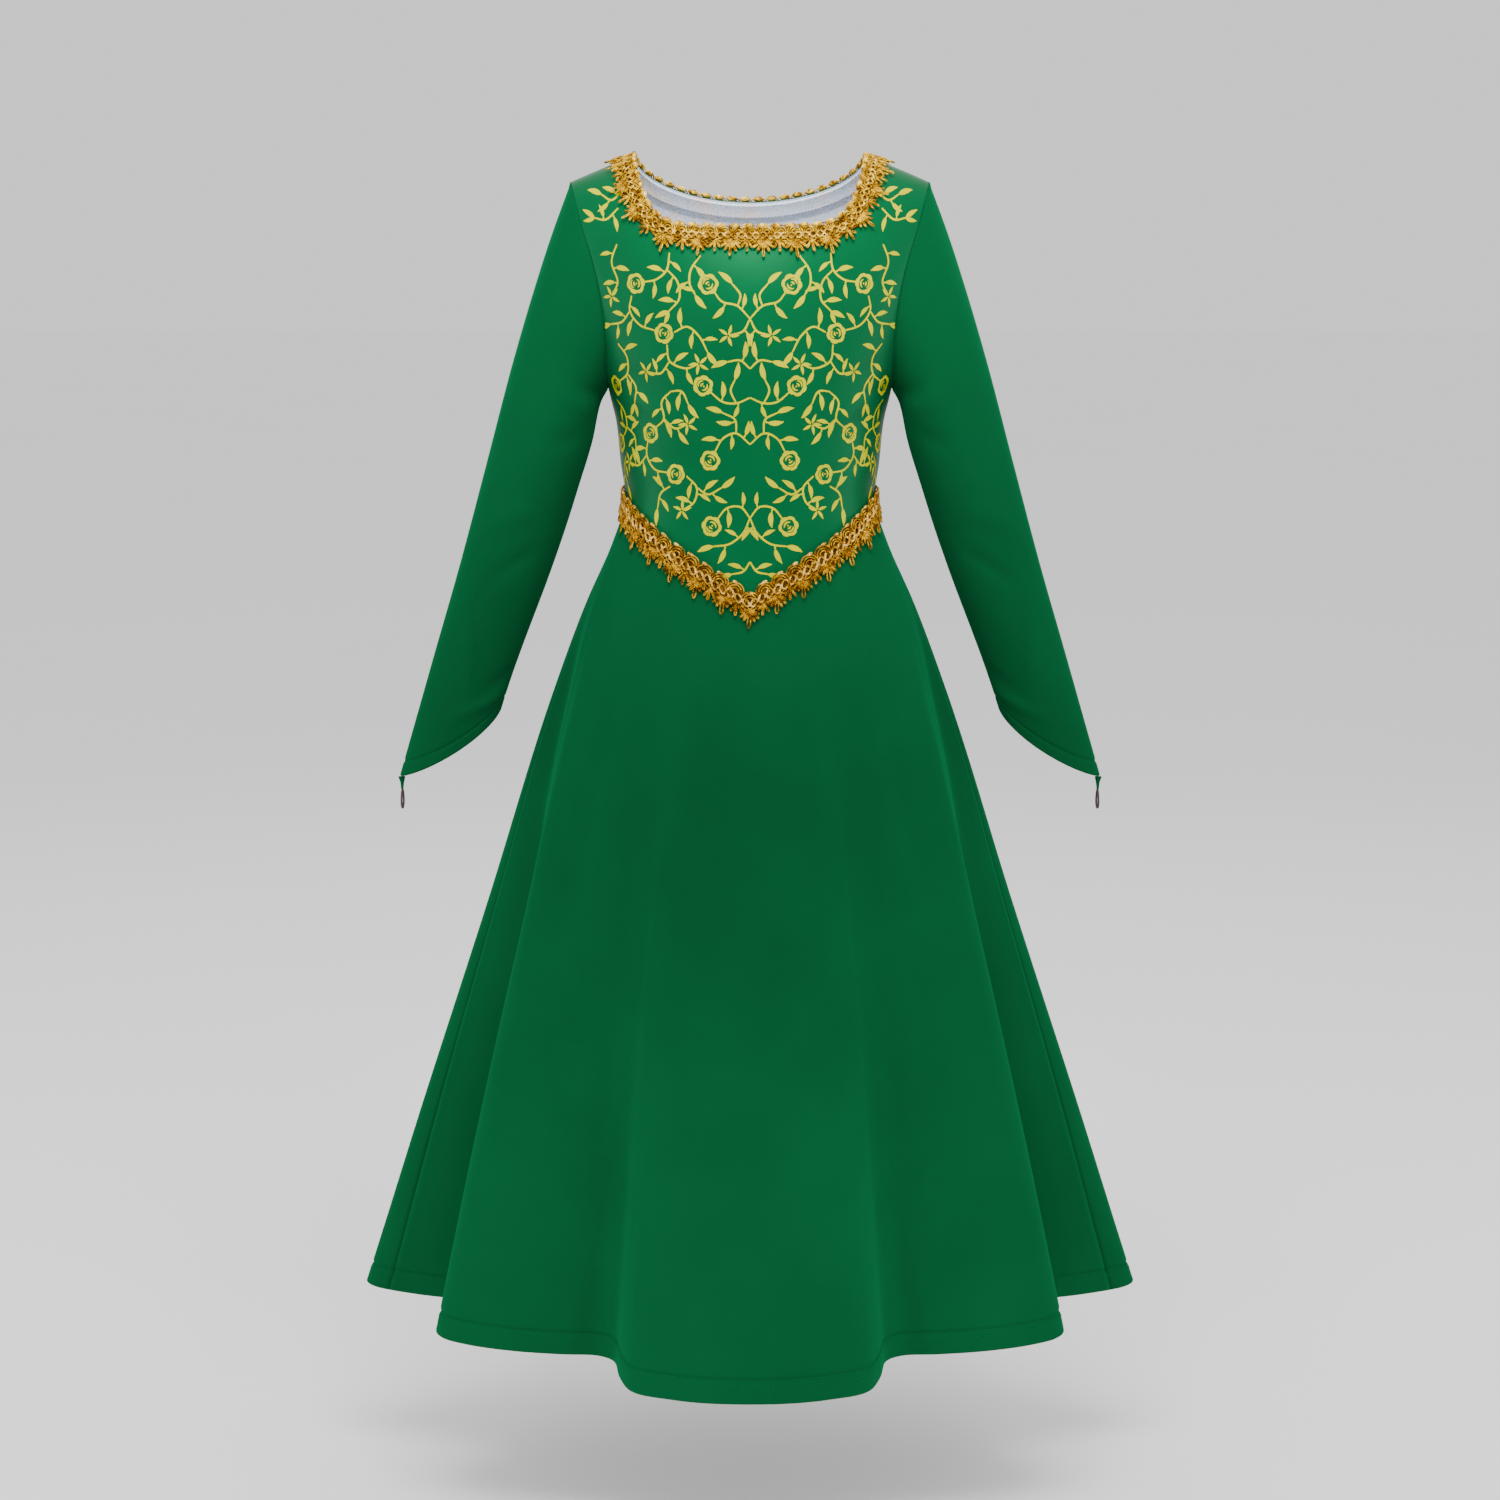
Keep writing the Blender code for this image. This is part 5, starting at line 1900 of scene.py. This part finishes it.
@dataclass
class Skirt:
    """The fluted skirt: front and back, turned hem and its two rows of stitches."""

    cloth: float = 0.0012
    hem_cloth: float = 0.0020
    hem: Hem = Hem(depth=0.016, zone=0.024, first=0.0232, rows=24, groove=0.0012, groove_width=0.0015)
    thread: Thread = Thread(pitch=0.0030, length=0.0023, thickness=0.00050)
    thread_gap: float = 0.0042
    columns: int = 190
    rows_down: int = 92
    seam_step: float = 0.5
    measure: float = 0.2
    creases: tuple[Crease, ...] = (
        Crease(-150, 330, -175, 640, 14, -2.2),
        Crease(142, 345, 168, 600, 12, -1.8),
        Crease(-62, 350, -86, 760, 16, 2),
        Crease(58, 370, 90, 740, 15, 1.8),
        Crease(-255, 300, -262, 620, 13, 1.8),
        Crease(262, 310, 258, 660, 14, 1.6),
        Crease(-400, 280, -420, 640, 16, -2),
        Crease(390, 285, 410, 560, 15, -2.2),
        Crease(-520, 275, -540, 680, 15, 2.2),
        Crease(505, 275, 520, 600, 13, 2),
        Crease(-270, 480, -268, 990, 16, -7),
        Crease(268, 500, 270, 990, 15, -6.5),
    )

    def face(self, angle: Array, down: Array) -> Array:
        """The skirt's outer face with its creases and the dip along the hem's stitches."""
        base = FORM.skirt_face(angle, down)
        low = FORM.skirt_face(angle, down + 0.001)
        aside = FORM.skirt_face(angle + 0.2, down) - FORM.skirt_face(angle - 0.2, down)
        normal = unit(np.cross(low - base + [0, 0, -1e-9], aside))
        creased = relief(self.creases, np.radians(angle) * self.measure, down)
        lift = creased - self.hem.sink(FORM.length - down)
        return base + normal * lift[..., None]

    def angles(self, side: Side) -> Array:
        """Angles even along the hem, from side seam to side seam, the back's beyond 180."""
        dense = np.linspace(-90, 90, SAMPLES) + (0 if side is Side.FRONT else 180)
        edge = FORM.skirt_face(self.turned(dense), np.full_like(dense, FORM.length))
        length = lengths_along(edge)
        return np.interp(np.linspace(0, length[-1], self.columns + 1), length, dense)

    @staticmethod
    def turned(angle: Array) -> Array:
        """The same angles from -180 to 180."""
        return np.where(angle > 180, angle - 360, angle)

    def clear_of_seams(self, angles: Array, down: Array) -> Array:
        """A panel's angles in each row, drawn in so that its seams' gap is even all the way."""
        middle = (angles[0] + angles[-1]) / 2
        past = FORM.skirt_face(np.full_like(down, 90 + self.seam_step), down)
        before = FORM.skirt_face(np.full_like(down, 90 - self.seam_step), down)
        gap = FORM.seam_gap * self.seam_step / np.linalg.norm(past - before, axis=-1)
        return self.turned(middle + (angles - middle) * (1 - gap / 90))

    def build(self, finishes: Finishes, room: Workroom) -> None:
        """Makes both panels and the hem's stitches."""
        for side, node in ((Side.FRONT, "skirt_front"), (Side.BACK, "skirt_back")):
            angles = self.angles(side)
            top = FORM.seam_down(self.turned(angles)) + FORM.seam_half_gap_down
            v = np.linspace(0, 1, self.rows_down)[:, None]
            down = top + (FORM.length - self.hem.zone - top) * v
            last = FORM.length - self.hem.heights()
            down = np.vstack([down, last[:, None] * np.ones_like(angles)])
            turned_in = FORM.length - down.mean(1) < self.hem.depth
            thick = np.where(turned_in, self.hem_cloth, self.cloth)
            wall = ClothWall(f"cloth_{node}", self.face(self.clear_of_seams(angles, down), down), thick)
            stitches = self.stitches(self.turned(angles), side, finishes, room)
            made = own(wall.build(finishes.knit, finishes.knit_inside), "green_knit", node)

    def stitches(self, angles: Array, side: Side, finishes: Finishes, room: Workroom) -> Object:
        """Two rows of stitches that hold the turned hem."""
        lines = []
        for up in (self.hem.depth, self.hem.depth - self.thread_gap):
            line = self.face(angles, np.full_like(angles, FORM.length - up))
            below = line - [0, 0, 0.001]
            lines.append(line + outward(np.stack([line, below]))[0] * STITCH_PROUD)
        name = f"stitches_hem_{side.name.lower()}"
        return room.sew(name, "green_knit", lines, False, self.thread, finishes.thread)


@dataclass
class Sleeve:
    """A long sleeve, hanging as a soft flat tube, with a slanted cuff."""

    cloth: float = 0.0012
    hem_cloth: float = 0.0020
    hem: Hem = Hem(depth=0.012, zone=0.017, first=0.0162, rows=18, groove=0.0008, groove_width=0.0014)
    thread: Thread = Thread(pitch=0.0028, length=0.0021, thickness=0.00048)
    rows_above_turn: int = 5
    seam_gap: float = 0.0006
    seam_reach: float = 0.004
    fade: float = 0.02
    around: int = 100
    rows_down: int = 120
    measure: float = 0.2
    creases: tuple[Crease, ...] = (
        Crease(185, 10, 120, 60, 7, -1.6),
        Crease(175, 30, 100, 85, 8, 1.4),
        Crease(165, 60, 110, 120, 7, -1.2),
        Crease(20, 120, 110, 175, 9, -1.4),
        Crease(130, 165, 40, 205, 8, 1.3),
        Crease(150, 190, 70, 240, 8, -1.3),
        Crease(50, 230, 120, 330, 10, 1.2),
        Crease(192, 306, 85, 344, 5.5, 1.7),
        Crease(190, 288, 120, 318, 7, -1.2),
        Crease(-175, 20, -110, 70, 8, -1.6),
        Crease(-30, 130, -120, 180, 9, -1.4),
        Crease(-140, 200, -60, 250, 8, 1.3),
        Crease(-60, 290, -120, 340, 9, -1.2),
    )

    def face(self, turn: Array, along: Array) -> Array:
        """The sleeve's outer face with its creases."""
        base = FORM.sleeve_face(turn, along)
        step = FORM.sleeve_face(turn, along + 0.002) - FORM.sleeve_face(turn, along - 0.002)
        aside = FORM.sleeve_face(turn - 1.0, along) - FORM.sleeve_face(turn + 1.0, along)
        normal = unit(np.cross(step, aside))
        across = np.where(turn > 180, turn - 360, turn) / 180 * self.measure
        creased = relief(self.creases, across, along) * ease(along / self.fade)
        lift = creased - self.hem.sink(FORM.sleeve_end(turn) - along)
        return base + normal * lift[..., None]

    def rows(self) -> tuple[Array, Array]:
        """The left sleeve's outer face and the cloth's thickness in each row."""
        turn = np.arange(self.around) * 360 / self.around
        end = FORM.sleeve_end(turn)
        v = np.linspace(0, 1, self.rows_down)[:, None]
        along = np.vstack([v * (end - self.hem.zone), end - self.hem.heights()[:, None]])
        face = self.face(turn, along)
        face[..., 0] += self.seam_gap * (1 - ease(along / self.seam_reach))
        thick = np.full(len(along), self.hem_cloth)
        thick[: self.rows_down + self.rows_above_turn] = self.cloth
        return face[:, ::-1], thick

    def build(self, finishes: Finishes, room: Workroom) -> None:
        """Makes both sleeves with their stitches."""
        rows, thick = self.rows()
        turn = np.arange(0, 360, 1.5)
        line = self.face(turn, FORM.sleeve_end(turn) - self.hem.depth)
        line = line + unit(line - line.mean(0)) * STITCH_PROUD
        for word, sign in (("left", 1), ("right", -1)):
            placed = rows if sign > 0 else mirrored(rows)
            wall = ClothWall(f"cloth_sleeve_{word}", placed, thick, closed=True)
            name, lines = f"stitches_cuff_{word}", [line * [sign, 1, 1]]
            stitches = room.sew(name, "green_knit", lines, True, self.thread, finishes.thread)
            made = own(wall.build(finishes.knit, finishes.knit_inside), "green_knit", f"sleeve_{word}")


@dataclass
class Seams:
    """The sewn seams between the panels, each a thin ridge half sunk between two of them."""

    radius: float = 0.0007
    sink: float = 0.0006
    skirt_sink: float = 0.00078
    step: float = 0.0020

    def armhole(self) -> Array:
        """Points round the left armhole."""
        turn = np.arange(0, 360, 4.0)
        ring = FORM.sleeve_face(turn, 0 * turn) + [Sleeve.seam_gap / 2, 0, 0]
        return ring + unit(ring.mean(0) - ring) * self.sink

    def shoulder(self) -> Array:
        """Points along the left shoulder, from the lace to the sleeve."""
        x = np.linspace(FORM.neck_half + 0.004, FORM.shoulder_half, 30)
        return columns(x, 0 * x, -FORM.shoulder_drop(x) - self.sink)

    def side(self) -> Array:
        """Points down the left side of the bodice."""
        down = np.linspace(FORM.underarm_down, FORM.seam_side_down, 40)
        return columns(smooth(SECTIONS, "half_width", down) - self.sink, 0 * down, -down)

    def skirt(self) -> Array:
        """Points down the left side of the skirt, inside its wall's outer face."""
        down = np.linspace(FORM.seam_side_down + 0.002, FORM.length - 0.0006, 160)
        line = Skirt().face(np.full_like(down, 90.0), down)
        aside = FORM.skirt_face(90.0 + 0 * down, down) - FORM.skirt_face(89.0 + 0 * down, down)
        inwards = unit(np.cross(aside, np.gradient(line, axis=0)))
        return line + inwards * self.skirt_sink

    def build(self, finishes: Finishes, room: Workroom) -> None:
        """Makes every seam on both sides."""
        for name, line, closed, coat, slot in (
            ("armholes", self.armhole(), True, finishes.knit, "green_knit"),
            ("shoulders", self.shoulder(), False, finishes.satin, "printed_satin"),
            ("sides", self.side(), False, finishes.satin, "printed_satin"),
            ("skirt", self.skirt(), False, finishes.knit, "green_knit"),
        ):
            cord = {"Radius": self.radius, "Flatness": 1.0, "Step": self.step, "Twist pitch": 1.0}
            own(room.lay(f"seam_{name}", [line, line * [-1, 1, 1]], closed, cord, coat), slot)


@dataclass
class CuffEnd:
    """The twisted tab under a sleeve's point, and the elastic loop sewn into it."""

    length: float = 0.0100
    inset: float = 0.0017
    drop: float = 0.0010
    half_width: float = 0.0030
    elastic: float = 0.0020
    loop_half: float = 0.0050
    loop_length: float = 0.0141

    def top(self) -> tuple[float, float]:
        """x and z where the left tab begins."""
        x, _, z = FORM.sleeve_face(np.array([0.0]), np.array([STATIONS[-1].along]))[0]
        return float(x) - self.inset, float(z) - self.drop

    def tab_rows(self, sign: int) -> Array:
        """A soft tube that twists, pinched at its middle and at its end."""
        x, z = self.top()
        t = np.linspace(0, 1, 22)[:, None]
        turn = np.linspace(0, 2 * math.pi, 24, endpoint=False)[None, :]
        wide = self.half_width * (0.86 - 0.22 * np.sin(math.pi * t) ** 2 - 0.30 * t**3)
        deep = wide * 0.52
        fold = 0.16 * np.cos(3 * turn + 5 * t)
        flat_x, flat_y = wide * np.cos(turn) * (1 + fold), deep * np.sin(turn) * (1 + fold)
        twist = 1.5 * t
        px = flat_x * np.cos(twist) - flat_y * np.sin(twist)
        py = flat_x * np.sin(twist) + flat_y * np.cos(twist)
        rows = columns(sign * (x + px), py, z - self.length * t + 0 * px)
        return rows if sign > 0 else rows[:, ::-1]

    def loop_line(self, sign: int) -> Array:
        """The elastic's middle line, both ends in the tab."""
        x, z = self.top()
        t = np.linspace(-1, 1, 49)
        angle = t * math.pi * 0.86
        y = self.loop_half * np.sin(angle) * (0.72 + 0.28 * np.cos(angle / 2) ** 2)
        down = self.loop_length * ((1 + np.cos(angle)) / 2 * 0.96 + 0.04)
        end = np.abs(t) ** 9
        y = y * (1 - end) + np.sign(t) * 0.0010 * end
        down = down * (1 - end)
        lean = 0.0004 * np.sin(t * math.pi)
        return columns(sign * (x + lean), -y, z - self.length - 0.0003 - down)

    def build(self, finishes: Finishes, room: Workroom) -> None:
        """Makes both tabs and both loops."""
        for word, sign in (("left", 1), ("right", -1)):
            rows = self.tab_rows(sign)
            ends = np.stack([np.broadcast_to(rows[k].mean(0), rows[0].shape) for k in (0, -1)])
            rows = np.concatenate([ends[:1], rows, ends[1:]])
            _, faces = grid_faces(rows, closed=True)
            points = rows.reshape(-1, 3)
            tab = mesh_object(f"cloth_tab_{word}", points, faces, points[:, [0, 2]])
            tab.data.materials.append(finishes.knit)
            own(tab, "green_knit", f"cuff_tab_{word}")
            cord = {"Radius": self.elastic / 2, "Flatness": 0.8, "Sides": 12}
            loop = room.lay(f"elastic_{word}", [self.loop_line(sign)], False, cord, finishes.elastic)
            own(loop, "elastic", f"finger_loop_{word}")


@dataclass(frozen=True)
class Lamp(ABC):
    """A studio light: where it stands, what it points at and its power."""

    name: str
    place: Place
    target: Place
    power: float
    kind: ClassVar[str]

    @abstractmethod
    def shape(self, data: bpy.types.Light) -> None:
        """Gives the light its form."""

    def build(self) -> None:
        """Makes the light."""
        data = bpy.data.lights.new(self.name, self.kind)
        data.energy = self.power
        self.shape(data)
        lamp = link(bpy.data.objects.new(self.name, data))
        lamp.location = self.place
        way = Vector(self.target) - Vector(self.place)
        lamp.rotation_euler = way.to_track_quat("-Z", "Y").to_euler()


@dataclass(frozen=True)
class Softbox(Lamp):
    """A broad lit panel."""

    size: tuple[float, float]
    kind: ClassVar[str] = "AREA"

    def shape(self, data: bpy.types.Light) -> None:
        """Gives the panel its two sides."""
        data.shape = "RECTANGLE"
        data.size, data.size_y = self.size


@dataclass(frozen=True)
class Beam(Lamp):
    """A narrow soft-edged beam."""

    cone: float
    radius: float
    kind: ClassVar[str] = "SPOT"

    def shape(self, data: bpy.types.Light) -> None:
        """Gives the beam its cone, and its shadows their softness."""
        data.spot_size, data.spot_blend = math.radians(self.cone), 1.0
        data.shadow_soft_size = self.radius


@dataclass
class Studio:
    """Pale floor, soft light and the camera at the photograph's angle."""

    camera_place: Place = (0.0, -2.35, -0.0598)
    camera_pitch: float = 9.364
    lens: float = 74.447
    floor_level: float = -1.02
    floor_size: float = 60.0
    world_light: float = 1.0
    boxes: tuple[Softbox, ...] = (
        Softbox("box_above", (0.0, -0.95, 1.35), (0.0, 0.0, -0.05), 40.0, (1.3, 0.8)),
        Softbox("box_left", (-2.4, -0.10, -0.42), (0.0, 0.0, -0.6), 17.0, (0.9, 1.1)),
        Softbox("box_right", (2.4, -0.10, -0.42), (0.0, 0.0, -0.6), 17.0, (0.9, 1.1)),
        Softbox("box_behind", (0.0, 2.4, 0.8), (0.0, 0.0, -0.4), 9.0, (2.4, 1.4)),
    )
    beams: tuple[Beam, ...] = (
        Beam("beam_chest", (0.0, -1.65, 1.35), (0.0, -0.08, -0.045), 270.0, 13.5, 0.12),
        Beam("beam_left", (-1.3, -2.0, -0.35), (-0.125, -0.18, -0.80), 120.0, 11.0, 0.20),
        Beam("beam_right", (1.3, -2.0, -0.35), (0.125, -0.18, -0.80), 120.0, 11.0, 0.20),
    )

    def build(self) -> None:
        """Makes the studio."""
        half = self.floor_size / 2
        corners = np.array([(-half, -half, 0), (half, -half, 0), (half, half, 0), (-half, half, 0)])
        floor = mesh_object("floor", corners + [0, 0, self.floor_level], np.array([[0, 1, 2, 3]]))
        floor.data.materials.append(FloorFinish().material())
        world = bpy.data.worlds.new("studio")
        bpy.context.scene.world = world
        world.use_nodes = True
        glow = world.node_tree.nodes["Background"]
        glow.inputs["Color"].default_value = (1.0, 1.0, 1.0, 1.0)
        glow.inputs["Strength"].default_value = self.world_light
        for light in (*self.boxes, *self.beams):
            light.build()
        data = bpy.data.cameras.new("camera")
        data.lens, data.sensor_width = self.lens, 36.0
        data.clip_end = 100.0
        camera = link(bpy.data.objects.new("camera", data))
        camera.location = self.camera_place
        camera.rotation_euler = (math.radians(90 - self.camera_pitch), 0.0, 0.0)
        bpy.context.scene.camera = camera


def main() -> None:
    """Builds the dress and its studio in order."""
    logging.basicConfig(level=logging.INFO, format="%(message)s")
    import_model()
    Studio().build()
    finishes, room = make_finishes(), Workroom()
    bodice = Bodice()
    rose_print = RosePrint(bodice)
    prints = {side: [rose_print.build(side, finishes)] for side in Side}
    bodice.build(finishes, prints)
    Facing().build(finishes, room)
    Skirt().build(finishes, room)
    Sleeve().build(finishes, room)
    CuffEnd().build(finishes, room)
    Seams().build(finishes, room)
    Lace(NECK_SIZES, NeckEdge(), finishes.neck_gold, "neck_gold").build(room)
    Lace(WAIST_SIZES, WaistEdge(), finishes.waist_gold, "waist_gold").build(room)


if __name__ == "__main__":
    main()
